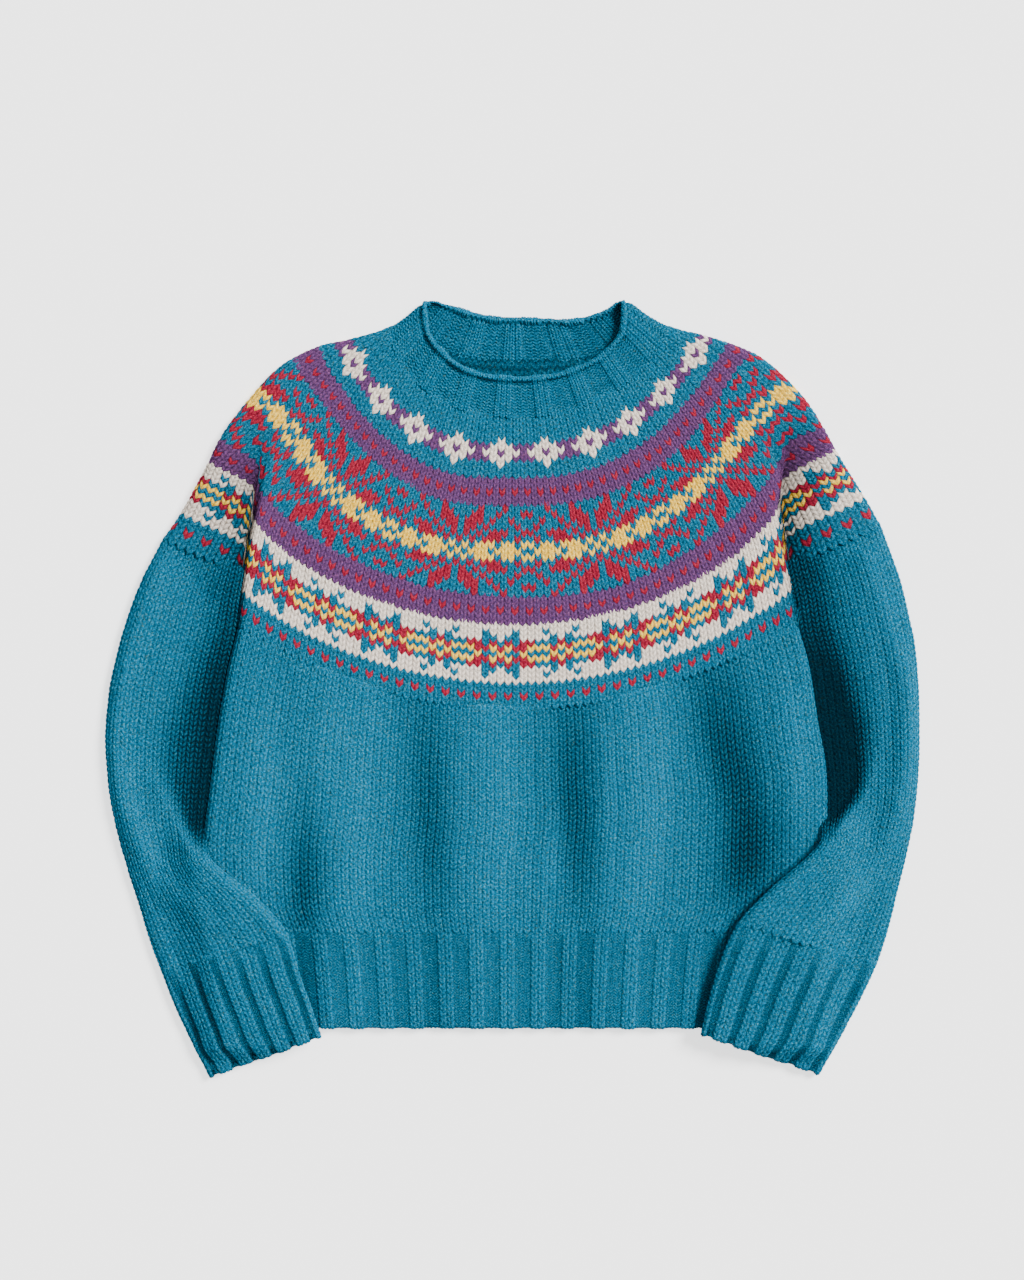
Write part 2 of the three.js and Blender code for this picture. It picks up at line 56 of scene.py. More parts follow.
# Cloth: its thickness, the height of a folded edge, and what two layers stand to
WALL = 3.6
FOLD_HEIGHT = 4.8
BODY_PAIR = 9.6
HEM_PAIR = 9.3
SLEEVE_PAIR = 9.4
CUFF_PAIR = 9.2
NECK_PAIR = 10.6
THINNEST_PAIR = 7.6
THICKEST_PAIR = 15.0
# How far from a fold the cloth is rounded
FOLD_ROUND = 10

# The yoke's courses are arcs round one centre, which lies above the neck.
YOKE_CENTRE = (2.0, 399.0)
RIM_REACH = 131.4
BAND_REACH = 169.2
YOKE_REACH = 418.0
HEM_TOP = -208.7
HEM_END = -289.4

# Reach of each course at the front's middle, then the angle and reach of its eleven places from the left
# fold to the right one: fold, sleeve's crease, body's crease, 30, 15, 0, 15, 30 degrees, and so back.
COURSES = [
    (131.4, (48, 103), (43, 110), (38, 117), 124, 131, 133, 134, (40, 130.5), (47, 125), (54.1, 117.5)),
    (169.2, (50.5, 143), (45, 150), (40, 156), 164, 169, 170, 170, (44, 166.5), (50, 164), (56.2, 160.5)),
    (193, (54.8, 174), (49, 177.5), (44, 181), 189, 194, 194, 192, (47, 187), (53, 186.5), (58.8, 186)),
    (222.7, (57.9, 201.6), (51.5, 206), (46, 208), 219.5, 226, 225, 222.7, (48, 214), (54, 213), (60.5, 211)),
    (246.5, (58.5, 227.5), (52.5, 227.8), (47, 228.8), 240.6, 249.5,
     249, 246.5, (49, 232.7), (55, 230.2), (61.2, 234)),
    (284.8, (56.3, 273), (52.5, 265), (48.5, 265), 284, 288, 288, 281, (49, 268), (54, 270), (59.1, 282)),
    (322.2, (53.5, 314.5), (46.5, 302.5), (43.3, 317.5), 322, 322,
     325, 319, (47, 308), (50.2, 301), (56.2, 317.7)),
    (346, (51.7, 334), (44.3, 319.4), (41.1, 339.7), 346, 346,
     346, 344, (42.3, 334), (45.7, 318.6), (54.4, 338)),
    (399.5, (48.6, 384), (39.2, 365.5), (35.9, 398.7), 399.5, 399.5,
     399.5, 399.5, (36.4, 400.5), (40.1, 361), (51.4, 386)),
    (418, (47.8, 407), (37.6, 384.8), (34.2, 421), 419, 418,
     418, 419, (34.9, 423.5), (38.5, 381.4), (50.1, 408)),
]

# How much higher the back's courses lie than the front's, at the same places, at the rim and the lower edge
BACK_RISE = (
    (131.4, (0, 14, 25, 36, 46, 48, 46, 36, 25, 14, 0)),
    (418.0, (0, 0, 0, 6, 19, 25, 19, 6, 0, 0, 0)),
)
YOKE_PAIR = (9.6, 9.7, 9.9, 10, 9.8, 9.6, 9.8, 10, 9.9, 9.7, 9.6)
CREASED_PAIR = (9.6, 9.9, 10.7, 10, 9.8, 9.6, 9.8, 10, 10.7, 9.9, 9.6)
# Reaches between which the armhole creases deepen, then the height of the body's edge and of the sleeve's
# foot in them, how far each rounds over, and the rise, place and width of the soft ridge on the sleeve
CREASE_START = 285
CREASE_FULL = 350
CREASE_LIP = 4.9
CREASE_FOOT = 4.6
LIP_ROUND = 8
FOOT_ROUND = 26
SHOULDER_RIDGE = (2.2, 42, 22)
# Strength of the painted shade in the armhole creases
CREASE_SHADE = 0.85
# Where the creases and the middle stand among a course's eleven places
SLEEVE_CREASES = (1, 9)
BODY_CREASES = (2, 8)
MIDDLE = 5

# Side folds of the body: height on the page, left and right
BODY_SIDES = [
    (-290, -238.4, 242.7), (-209, -250.3, 254.6), (-179, -261.4, 266), (-136, -263.9, 269),
    (-80, -258, 268.6), (-22, -250.3, 260), (23, -241.8, 252.6), (52, -234.6, 244.4),
]

# Soft folds of the body and the sleeves: middle x and y, length, width, turn in degrees, rise
BODY_FOLDS = [
    (-146, -100, 95, 26, 4, 2.4), (-216, -90, 80, 16, -2, 1.6), (-176, -165, 70, 18, -4, -2.8),
    (-72, -105, 100, 17, 3, -2.2), (-19, -90, 100, 22, 0, 2.2), (52, -95, 95, 18, 3, -2.8),
    (107, -90, 95, 22, -3, 3.2), (186, -60, 90, 26, 14, -3.2), (240, -50, 60, 12, 6, 1.8),
    (196, -150, 45, 26, -16, -2.6), (-120, -20, 45, 12, 12, 0.9), (30, -150, 45, 12, -10, 0.9),
]
SLEEVE_FOLDS = {
    "left": [
        (-325, -110, 70, 13, 18, 1.5), (-292, -80, 55, 12, 16, 1.1),
        (-300, 20, 60, 16, -14, 1.0), (-240, -190, 40, 14, 35, 1.2),
    ],
    "right": [
        (330, -60, 70, 13, -6, 1.5), (300, -40, 50, 12, 0, 1.1),
        (300, 50, 55, 16, 14, 1.0), (238, -180, 40, 14, -40, 1.2),
    ],
}

# Cross sections of each sleeve from the yoke to the cuff's end: outer fold, then inner fold
SLEEVE_SECTIONS = {
    "left": [
        (-299.6, 125.7, -232, 95.6), (-314, 98, -235, 74), (-326.8, 66, -237.2, 51),
        (-337, 32, -243.1, 23), (-344.7, -6, -249.2, -9), (-347.2, -41, -254.3, -45),
        (-344.7, -81, -259.4, -81), (-338, -118, -263.6, -113), (-328.5, -152, -265.8, -136.5),
        (-319, -182, -243.5, -154.5), (-309, -215, -213, -179), (-299, -242, -189, -209.5),
        (-287.7, -271, -180.6, -238), (-274, -300, -170.5, -266.5), (-258, -332, -161, -295),
    ],
    "right": [
        (314.9, 137.3, 239.5, 100.5), (329.4, 98, 244.6, 74), (337.5, 66, 247.5, 50.5),
        (344, 32, 254.4, 25), (346.6, -4, 259.3, -9), (347.2, -43, 264.4, -43),
        (346, -73, 269, -73), (342.6, -107, 271, -99), (337, -136.5, 271, -119),
        (329, -169, 249.5, -141.5), (320, -206, 217, -169.5), (309.8, -236.7, 189, -200),
        (297, -264, 177.2, -225.5), (281, -294.5, 167, -258), (261, -329.5, 158.5, -293),
    ],
}
# Ridges of the sleeves, as lines of points, each with its width and rise
SLEEVE_RIDGES = {
    "left": [
        ([(-300, 100), (-322, 40), (-334, -10), (-337.9, -51), (-331, -102), (-318, -129), (-303, -157),
          (-292, -172)], 12, 3.0),
        ([(-262, -150), (-235, -172), (-205, -196)], 12, 1.8),
    ],
    "right": [
        ([(300, 110), (318, 58), (333, 10), (337, -22), (335, -65), (326, -105), (305, -157), (277, -185),
          (240, -212)], 11, 3.4),
        ([(262, -138), (235, -163), (210, -190)], 12, 1.8),
    ],
}
# Between the body and this line an upper sleeve lies low: height on the page, place across, softness
SLEEVE_LOW = {
    "left": [
        (-137, -267, 6), (-105, -284, 8), (-56, -303, 15), (0, -287, 26), (50, -270, 26), (120, -262, 26),
    ],
    "right": [(-120, 269, 6), (-82, 296, 8), (-37, 303, 15), (0, 294, 24), (50, 280, 26), (120, 270, 26)],
}
# A cuff starts at this cross section. A forearm climbs on to the body between two heights on the page,
# rests there, and comes down past the body's side.
CUFF_FROM = 11
CLIMB = {"left": (-106, -136), "right": (-93, -120)}
REST_ON_BODY = 11.6
OVERHANG = 13
COME_DOWN = 18
# How far a sleeve's top slope spreads past its solid's, and how far the sleeve is tucked under the body
SOFT_SLOPE = 10
TUCK = 9
TUCK_REACH = 40
# Roundings of a sleeve's edges, and of a cuff's
OUTER_ROUND = 12
INNER_ROUND = 10
TUCKED_ROUND = 3
UNDER_ROUND = 8
CUFF_ROUND = 9
# The painted shade in the pocket inside each elbow: how wide it is at its darkest, how dark, and how far it
# fades
POCKET = {"left": (8, 1.0), "right": (22, 1.3)}
POCKET_FADE = 28

# Charts of the yoke's patterns, by the letters of the yarns: turquoise, purple, red, yellow and white.
# The stars are mirrored across and down, and the peerie band down.
YARNS = "TPRYW"
FLOWER = ("TTWTTT", "PWWWPP", "WWPWWP", "PWWWPP", "TTWTTT")
STAR = (
    "TTTRTTTRTTT", "TTRRTTRTTTR", "TRRRTRTTRTT", "TRRTRTTTTRT",
    "TRTRTRRRTTR", "RTRTRRRTTRT", "TYTYYYTYYTY", "YTYYYTYYYYT",
)
PEERIE = (
    "WWWWWWWWWWWWWWWW", "WTWWWTWWWTWWWTWW", "WTTWTTWWWWTWTWWW",
    "RTRTRTRRTTTRTTTR", "RRYRYRRYYYRYRYYY", "YTTYTTYTTTYTYTTT",
)


def smoothstep(value, low, high):
    """Soft rise from 0 at low to 1 at high."""
    share = np.clip((value - low) / (high - low), 0, 1)
    return share * share * (3 - 2 * share)


def round_over(distance, radius):
    """Quarter-round rise of a folded edge: 0 at the fold and 1 a radius away from it."""
    share = np.clip(distance / radius, 0, 1)
    return np.sqrt(1 - (1 - share) ** 2)


def smooth_through(stops, values, at):
    """Curve through the stops that doesn't swing past them, and runs straight on at both ends."""
    stops, values = np.asarray(stops, float), np.asarray(values, float)
    shape = values.shape[1:]
    values = values.reshape(len(stops), -1)
    gaps = np.diff(stops)[:, None]
    rises = np.diff(values, axis=0) / gaps
    slopes = np.zeros_like(values)
    if len(stops) > 2:
        first, second = 2 * gaps[1:] + gaps[:-1], gaps[1:] + 2 * gaps[:-1]
        with np.errstate(divide="ignore", invalid="ignore"):
            mean = (first + second) / (first / rises[:-1] + second / rises[1:])
        slopes[1:-1] = np.where(rises[1:] * rises[:-1] > 0, mean, 0)
    slopes[0], slopes[-1] = rises[0], rises[-1]
    at = np.atleast_1d(np.asarray(at, float))
    inside = np.clip(at, stops[0], stops[-1])
    i = np.clip(np.searchsorted(stops, inside, side="right") - 1, 0, len(stops) - 2)
    t = ((inside - stops[i]) / gaps[i, 0])[:, None]
    result = (
        (2 * t**3 - 3 * t**2 + 1) * values[i] + (t**3 - 2 * t**2 + t) * slopes[i] * gaps[i]
        + (3 * t**2 - 2 * t**3) * values[i + 1] + (t**3 - t**2) * slopes[i + 1] * gaps[i]
    )
    past = (at - inside)[:, None]
    result = result + past * np.where(past < 0, slopes[0], slopes[-1])
    return result.reshape((len(at),) + shape)


def folds_at(folds, x, y):
    """Rise of soft folds, less towards their ends and sides."""
    rise = np.zeros_like(x)
    for fold_x, fold_y, long, wide, turn, height in folds:
        cos, sin = math.cos(math.radians(turn)), math.sin(math.radians(turn))
        along = (y - fold_y) * cos - (x - fold_x) * sin
        across = (x - fold_x) * cos + (y - fold_y) * sin
        rise = rise + height * np.exp(-((along / long) ** 2) - (across / wide) ** 2)
    return rise


def ridges_at(ridges, x, y):
    """Rise of ridges that follow lines of points."""
    rise = np.zeros_like(x)
    for line, wide, height in ridges:
        line = np.array(line, float)
        nearest = np.full(x.shape, 1e9)
        for start, end in zip(line[:-1], line[1:]):
            along = end - start
            from_x, from_y = x - start[0], y - start[1]
            share = np.clip((from_x * along[0] + from_y * along[1]) / (along @ along), 0, 1)
            nearest = np.minimum(nearest, np.hypot(from_x - share * along[0], from_y - share * along[1]))
        rise = rise + height * np.exp(-((nearest / wide) ** 2))
    return rise


def lengths_along(points):
    """Length from a line's first point to each of its points."""
    steps = np.linalg.norm(np.diff(points, axis=0), axis=1)
    return np.concatenate([[0.0], np.cumsum(steps)])


class Loop:
    """One course round a tube: from the back's middle over the left fold, across the front and back again.

    Relief has two columns: how much of the stitches shows at a point, and the painted shade laid on it there.
    """

    def __init__(self, points, run, relief, marks):
        self.points = points
        self.run = run
        self.relief = relief
        self.marks = marks

    def at(self, runs):
        places = np.stack([np.interp(runs, self.run, self.points[:, axis]) for axis in range(3)], axis=-1)
        return places, np.stack([np.interp(runs, self.run, self.relief[:, i]) for i in range(2)], axis=-1)


def join_loop(bottom_left, top, bottom_right, middle, shade, weights=None, relief=None, places=None):
    """Joins three lines to a loop, with run 0 at the top line's middle point.

    Weights stretch the runs along the top line, and places are its points whose runs are marked.
    """
    points = np.concatenate([bottom_left[:-1], top, bottom_right[1:]])
    before, after = len(bottom_left) - 1, len(bottom_right) - 1
    ones = np.ones(len(top))
    weight = np.pad(ones if weights is None else weights, (before, after), constant_values=1.0)
    shown = np.pad(ones if relief is None else relief, (before, after), constant_values=1.0)
    steps = np.linalg.norm(np.diff(points, axis=0), axis=1) * (weight[1:] + weight[:-1]) / 2
    run = np.concatenate([[0.0], np.cumsum(steps)])
    run = run - run[before + middle]
    marks = {name: run[before + place] for name, place in (places or {}).items()}
    marks.update(start=run[0], end=run[-1], fold_left=run[before], fold_right=run[before + len(top) - 1])
    return Loop(points, run, np.column_stack([shown, np.pad(shade, (before, after))]), marks)


def course_places(middle):
    """Angles and reaches of the eleven places of one course."""
    table = []
    for row in COURSES:
        left, centre, right = row[1:6], row[0], row[6:]
        places = [(-a, r) for a, r in left[:3]] + [(-30, left[3]), (-15, left[4]), (0, centre)]
        places += [(15, right[0]), (30, right[1])] + list(right[2:])
        table.append(places)
    places = smooth_through([row[0] for row in COURSES], table, middle)[0]
    return places[:, 0], places[:, 1]


def arc_points(angles, reaches):
    """Points in plan at angles and reaches from the yoke's centre."""
    turned = np.radians(angles)
    x = YOKE_CENTRE[0] + reaches * np.sin(turned)
    y = YOKE_CENTRE[1] - reaches * np.cos(turned)
    return np.stack([x, y], axis=-1)


def dense_angles(angles):
    """Angles along a course, close together at both folds, and with its places among them."""
    span = angles[-1] - angles[0]
    ends = span * np.array([0.0005, 0.0015, 0.003, 0.005, 0.008, 0.012, 0.017, 0.023, 0.03, 0.04])
    even = np.linspace(angles[0], angles[-1], 361)
    return np.unique(np.concatenate([even, angles, angles[0] + ends, angles[-1] - ends]))


def back_reach(middle, reach):
    """Reaches of the back's course that belongs to a course of the front."""
    share = (middle - BACK_RISE[0][0]) / (BACK_RISE[1][0] - BACK_RISE[0][0])
    return reach - (np.array(BACK_RISE[0][1]) * (1 - share) + np.array(BACK_RISE[1][1]) * share)


def yoke_loop(middle, pair=None):
    """One course of the yoke or the neckband, by its reach at the front's middle."""
    angles, reaches = course_places(middle)
    fine = dense_angles(angles)
    plan = arc_points(fine, smooth_through(angles, reaches, fine))
    run = lengths_along(plan)
    crease = float(smoothstep(middle, CREASE_START, CREASE_FULL))
    body_places = [int(np.searchsorted(fine, angles[i])) for i in BODY_CREASES]
    sleeve_places = [int(np.searchsorted(fine, angles[i])) for i in SLEEVE_CREASES]
    if pair is None:
        stops = np.array(YOKE_PAIR) * (1 - crease) + np.array(CREASED_PAIR) * crease
        height = smooth_through(angles, stops, fine)
    else:
        height = np.full(len(fine), pair)
    # The body's edge rounds down to the crease, and the sleeve rises from under it.
    relief = np.ones(len(fine))
    weights = np.ones(len(fine))
    shade = np.zeros(len(fine))
    ridge_rise, ridge_place, ridge_width = SHOULDER_RIDGE
    for body, sleeve, sign in zip(body_places, sleeve_places, (-1, 1)):
        from_body = sign * (run - run[body])
        from_sleeve = sign * (run - run[sleeve])
        on_body, on_sleeve = from_body <= 0, from_sleeve >= 0
        wall = ~on_body & ~on_sleeve
        lip = height + (CREASE_LIP - height) * crease
        foot = height + (CREASE_FOOT - height) * crease
        ridge = ridge_rise * crease * np.exp(-(((from_sleeve - ridge_place) / ridge_width) ** 2))
        body_side = lip + (height - lip) * round_over(-from_body, LIP_ROUND)
        climb = np.sin(np.pi / 2 * np.clip(from_sleeve / FOOT_ROUND, 0, 1))
        sleeve_side = foot + (height + ridge - foot) * climb
        height = np.where(on_sleeve, sleeve_side, np.where(wall, (lip + foot) / 2, body_side))
        # The wall inside the crease is steep, so few stitches lie on it, and their relief sinks into it.
        width = run[body] - run[sleeve]
        weights[wall] = 1 - crease * (1 - min(1, 6 / abs(width)))
        near = np.maximum(from_body, -from_sleeve)
        relief = np.minimum(relief, 1 - 0.8 * crease * smoothstep(near, -3, 1) * smoothstep(-near, -60, 0))
        # Painted shade fills the crease's wall, fades onto the body's edge and up the sleeve's foot.
        beyond = np.where(wall, 1.0, np.exp(from_body / 4))
        dim = np.where(on_sleeve, np.exp(-from_sleeve / FOOT_ROUND), beyond)
        shade = np.maximum(shade, CREASE_SHADE * crease * dim)
    edge = np.minimum(run, run[-1] - run)
    height = FOLD_HEIGHT + (height - FOLD_HEIGHT) * round_over(edge, FOLD_ROUND)
    top = np.column_stack([plan, height])
    under = back_reach(middle, reaches)
    near_fold = 1 - np.array([0.075, 0.05, 0.035, 0.024, 0.016, 0.01, 0.006, 0.003, 0.001, 0])
    sides = []
    for end in (0, -1):
        turn = np.concatenate([np.linspace(0, angles[end], 140)[:-12], angles[end] * near_fold])
        points = arc_points(turn, smooth_through(angles, under, turn))
        length = lengths_along(points)
        low = FOLD_HEIGHT * (1 - round_over(length[-1] - length, FOLD_ROUND))
        sides.append(np.column_stack([points, low]))
    centre = int(np.searchsorted(fine, angles[MIDDLE]))
    places = dict(zip(("body_left", "body_right"), body_places))
    return join_loop(sides[0], top, sides[1][::-1], centre, shade, weights, relief, places)


def side_at(y):
    """Places of the body's two side folds at heights on the page."""
    table = np.array(BODY_SIDES)
    both = smooth_through(table[:, 0], table[:, 1:], y)
    return both[:, 0], both[:, 1]


def close_at_ends(count=260):
    """Shares of a line that are even along it and close together near both ends."""
    ends = 0.02 * np.linspace(0, 1, 16) ** 2
    return np.unique(np.concatenate([np.linspace(0, 1, count), ends, 1 - ends]))


def evened(points, count=260):
    """The same line in points that are close together near both ends."""
    run = lengths_along(points)
    at = close_at_ends(count) * run[-1]
    return np.stack([np.interp(at, run, points[:, axis]) for axis in range(2)], axis=-1)


def body_edges():
    """The front's and the back's upper edge: the yoke's last course between the armhole creases."""
    edges = []
    angles, reaches = course_places(YOKE_REACH)
    left, right = BODY_CREASES
    even = np.linspace(angles[left], angles[right], 300)
    fine = np.unique(np.concatenate([even, angles[left:right + 1]]))
    for reach in (reaches, back_reach(YOKE_REACH, reaches)):
        edges.append(evened(arc_points(fine, smooth_through(angles, reach, fine))))
    return edges


def body_loop(down, edges, hem=False):
    """One course of the body, by its share of the way from the yoke to the hem, or of the hem by its y."""
    layers = []
    for is_back, edge in enumerate(edges):
        if hem:
            left, right = side_at(np.array([down]))
            share = close_at_ends()
            plan = np.column_stack([left[0] + (right[0] - left[0]) * share, np.full(len(share), down)])
            # The rib holds the folds that run into its top, but flatter.
            folds = 0.6 * folds_at(BODY_FOLDS, plan[:, 0], np.full(len(share), HEM_TOP + 20.0))
            pair = HEM_PAIR + 0.8 * folds
            radius = 8
        else:
            y = edge[:, 1] + (HEM_TOP - edge[:, 1]) * down
            left, right = side_at(edge[:, 1])
            low_left, low_right = side_at(y)
            x = low_left + (low_right - low_left) * (edge[:, 0] - left) / (right - left)
            plan = np.column_stack([x, y])
            folds = folds_at(BODY_FOLDS, x, y)
            pair = np.clip(BODY_PAIR + folds, THINNEST_PAIR, THICKEST_PAIR)
            # The edge that the yoke's crease ends in stands as high as the crease does.
            near_side = np.exp(-((np.minimum(x - low_left, low_right - x) / 26) ** 2))
            pair = pair + 1.1 * near_side * (1 - smoothstep(down, 0, 0.5))
            radius = 8 + 2 * min(1, 3 * max(down, 0))
        run = lengths_along(plan)
        from_fold = np.minimum(run, run[-1] - run)
        rounding = round_over(from_fold, radius)
        height = FOLD_HEIGHT * (1 - rounding) if is_back else FOLD_HEIGHT + (pair - FOLD_HEIGHT) * rounding
        layers.append(np.column_stack([plan, height]))
        if not is_back:
            # Painted shade: troughs are painted darker, ridges lighter as a painted highlight, and the side
            # folds darker too.
            dim = np.clip(0.02 - 0.2 * folds, -0.2, 0.8) + 0.2 * np.exp(-from_fold / 3)
    top, bottom = layers
    half = len(bottom) // 2
    return join_loop(bottom[half::-1], top, bottom[:half - 1:-1], len(top) // 2, dim)


def resting_height(side, x, y, softer=0):
    """Height of what lies under a forearm. Softer spreads its slope past the solid's, each way."""
    left, right = side_at(np.clip(y, -290, 52))
    inside = x - left if side == "left" else right - x
    over_side = smoothstep(inside, -OVERHANG - COME_DOWN - softer, -OVERHANG + softer)
    over_hem = smoothstep(y - HEM_END, -OVERHANG - COME_DOWN, -OVERHANG)
    start, up = CLIMB[side]
    return REST_ON_BODY * over_side * over_hem * (1 - smoothstep(y, up, start))


def sleeve_lengths(side):
    """Length down the middle of a sleeve to each of its cross sections."""
    table = np.array(SLEEVE_SECTIONS[side])
    return lengths_along((table[:, :2] + table[:, 2:]) / 2)


def sleeve_start(side):
    """The sleeve's upper edge: the yoke's last course from its outer fold to the crease."""
    angles, reaches = course_places(YOKE_REACH)
    first, last = (0, SLEEVE_CREASES[0]) if side == "left" else (SLEEVE_CREASES[1], 10)
    fine = np.linspace(angles[first], angles[last], 80)
    return evened(arc_points(fine, smooth_through(angles, reaches, fine)), 120)


def sleeve_loop(side, length, start, is_cuff=False):
    """One round of a sleeve at a length down its middle."""
    is_left = side == "left"
    table = np.array(SLEEVE_SECTIONS[side])
    lengths = sleeve_lengths(side)

    def section_at(place):
        """Left and right end of a cross section."""
        row = smooth_through(lengths, table, place)[0]
        return (row[:2], row[2:]) if is_left else (row[2:], row[:2])

    share = lengths_along(start)
    share = (share / share[-1])[:, None]
    left, right = section_at(length)
    plan = left + (right - left) * share
    if length < lengths[1]:
        left, right = section_at(lengths[1])
        plan = start + (left + (right - left) * share - start) * (length / lengths[1])
    y_middle = float(plan[:, 1].mean())
    climb_start, climb_end = CLIMB[side]
    # Beside the body an upper sleeve is tucked a little under the body's edge.
    beside = float(1 - smoothstep(-y_middle, 8 - climb_start, 12 - climb_end))
    under_body = float(1 - smoothstep(-y_middle, 6 - climb_end, 34 - climb_end))
    run = lengths_along(plan)
    from_inner = run[-1] - run if is_left else run
    tuck = TUCK * under_body * np.clip(1 - from_inner / TUCK_REACH, 0, 1)
    plan[:, 0] += tuck if is_left else -tuck
    x, y = plan[:, 0], plan[:, 1]
    run = lengths_along(plan)
    from_outer, from_inner = (run, run[-1] - run) if is_left else (run[-1] - run, run)
    # Between the body and its outer ridge the sleeve lies low.
    low_line = np.array(SLEEVE_LOW[side], float)
    line = smooth_through(low_line[:, 0], low_line[:, 1:], np.clip(y, low_line[0, 0], low_line[-1, 0]))
    beyond = (line[:, 0] - x) if is_left else (x - line[:, 0])
    low = 1 - smoothstep(-y, 8 - climb_start, 12 - climb_end)
    raised = 1 - low * (1 - smoothstep(beyond / line[:, 1], -1, 1))
    climb = np.sin(np.pi / 2 * np.clip(from_inner / FOOT_ROUND, 0, 1))
    at_yoke = float(1 - smoothstep(length, 0, 45)) * climb
    floor = resting_height(side, x, y) * raised
    soft_floor = resting_height(side, x, y, SOFT_SLOPE) * raised
    ridges = ridges_at(SLEEVE_RIDGES[side], x, y)
    if is_cuff:
        pair = CUFF_PAIR + ridges * 0.5
        shade = np.zeros(len(x))
        outer_round = inner_round = CUFF_ROUND
    else:
        pair = SLEEVE_PAIR + 1.2 * folds_at(SLEEVE_FOLDS[side], x, y) + ridges
        pair = np.clip(pair, THINNEST_PAIR, THICKEST_PAIR)
        pair = CREASE_LIP + (pair - CREASE_LIP) * np.maximum(raised, at_yoke)
        outer_round = OUTER_ROUND
        inner_round = INNER_ROUND * (1 - beside) + TUCKED_ROUND * beside
        # Painted shade in the low pocket between the body and the ridge: darkest near the body, fading
        # outwards, and deeper lower down.
        flat_dark, strength = POCKET[side]
        near = np.exp(-np.maximum(from_inner - TUCK - flat_dark, 0) / POCKET_FADE)
        shade = strength * (1 - raised) * (0.2 + 0.8 * near) * (0.6 + 0.4 * smoothstep(-y, -80, 20))
        # The ridges are painted a little lighter, as a painted highlight.
        shade = shade - 0.12 * np.clip(ridges / 3, 0, 1)
    rounding = np.minimum(round_over(from_outer, outer_round), round_over(from_inner, inner_round))
    floor_above = floor + (soft_floor - floor) * round_over(from_outer, OUTER_ROUND)
    top = np.column_stack([x, y, floor_above + FOLD_HEIGHT + (pair - FOLD_HEIGHT) * rounding])
    under = np.minimum(round_over(from_outer, UNDER_ROUND), round_over(from_inner, UNDER_ROUND))
    bottom = np.column_stack([x, y, floor + FOLD_HEIGHT * (1 - under)])
    half = len(bottom) // 2
    return join_loop(bottom[half::-1], top, bottom[:half - 1:-1], len(top) // 2, shade)


def even_runs(places, loop, wales):
    """Runs of stitch edges that are even across the front, and across the back, which has as many wales."""
    stops = [loop.marks[name] for name in ("start", "fold_left", "fold_right", "end")]
    return np.interp(places, [-wales, -wales / 2, wales / 2, wales], stops)


def drawn_together(places, first_purl, narrow):
    """Places across a 2 by 2 rib whose purl wales are drawn together to a share of their width."""
    reach = 60
    edges = np.arange(-reach, reach + 1)
    width = np.where((edges[:-1] - first_purl) % 4 < 2, narrow, 2 - narrow)
    moved = np.concatenate([[0.0], np.cumsum(width)])
    return np.interp(places, edges, moved - moved[reach])


def yoke_runs(places, loop, half, pitch, phase):
    """Runs of stitch edges that are even up to the armhole creases, and even again beyond them."""
    stops = [loop.marks[name] for name in ("start", "body_left", "body_right", "end")]
    left, right = stops[1] / pitch - phase, stops[2] / pitch - phase
    return np.interp(places, [-half, left, right, half], stops)


def tube(loop_at, wales, purl_width=None):
    """Surface of a tube that has as many wales on its back as on its front.

    The purl wales of a rib may be drawn together to a share of their width.
    """
    def runs(row, loop, places):
        if purl_width is not None:
            places = drawn_together(places, 1, purl_width)
        return even_runs(places, loop, wales)
    return lambda steps, places: surface(loop_at, runs, steps, places)


def surface(loop_at, runs_at, steps, places):
    """Lattice of points of a tube, by course and stitch edge, how much of the relief shows there, and the
    painted shade there.
    """
    points, relief = [], []
    for step in steps:
        loop = loop_at(step)
        row, weight = loop.at(runs_at(step, loop, places))
        points.append(row)
        relief.append(weight)
    return np.array(points), np.array(relief)


def normals_of(points):
    """Outward directions of a lattice of points."""
    across = np.gradient(points, axis=1)
    down = np.gradient(points, axis=0)
    normal = np.cross(across, -down)
    return normal / np.maximum(np.linalg.norm(normal, axis=-1, keepdims=True), 1e-9)


def at_rows(values, steps, rows):
    """Values of a lattice at other courses, which may differ from one stitch edge to the next."""
    place = np.clip((rows - steps[0]) / (steps[1] - steps[0]), 0, len(steps) - 1.001)
    low = place.astype(int)
    share = place - low
    columns = np.arange(values.shape[1])[None, :]
    if values.ndim == 3:
        share = share[..., None]
    return values[low, columns] * (1 - share) + values[low + 1, columns] * share


# Where a stitch is cut across into faces, and how high each cut stands: the two legs of a plain stitch,
# and the even height of a purl stitch.
FINE_CUTS = (0, 0.12, 0.34, 0.5, 0.66, 0.88)
FINE_PLAIN = (0.28, 0.86, 1.0, 0.46, 1.0, 0.86)
FINE_PURL = (0.75, 0.95, 0.9, 0.75, 0.9, 0.95)
COARSE_CUTS = (0, 0.28, 0.5, 0.72)
COARSE_PLAIN = (0.28, 1.0, 0.48, 1.0)
COARSE_PURL = (0.75, 0.9, 0.7, 0.9)
# Cuts along a stitch, and the lattice of the cloth's form that they are laid on, in courses
FINE_PARTS = 4
COARSE_PARTS = 2
LATTICE_STEP = 0.25
LATTICE_BEFORE = 2.5
# How far a purl bump waves up and down, and how much stitches differ: up or down, in height, and by wale
PURL_WAVE = 0.26
SHIFT_SPREAD = 0.07
HEIGHT_SPREAD = 0.14
WALE_SPREAD = 0.16
# Least and greatest painted shade, from depth between the stitches and the shade painted on the cloth's form;
# the least is a painted highlight
PAINTED_SHADE_RANGE = (-0.2, 1.4)


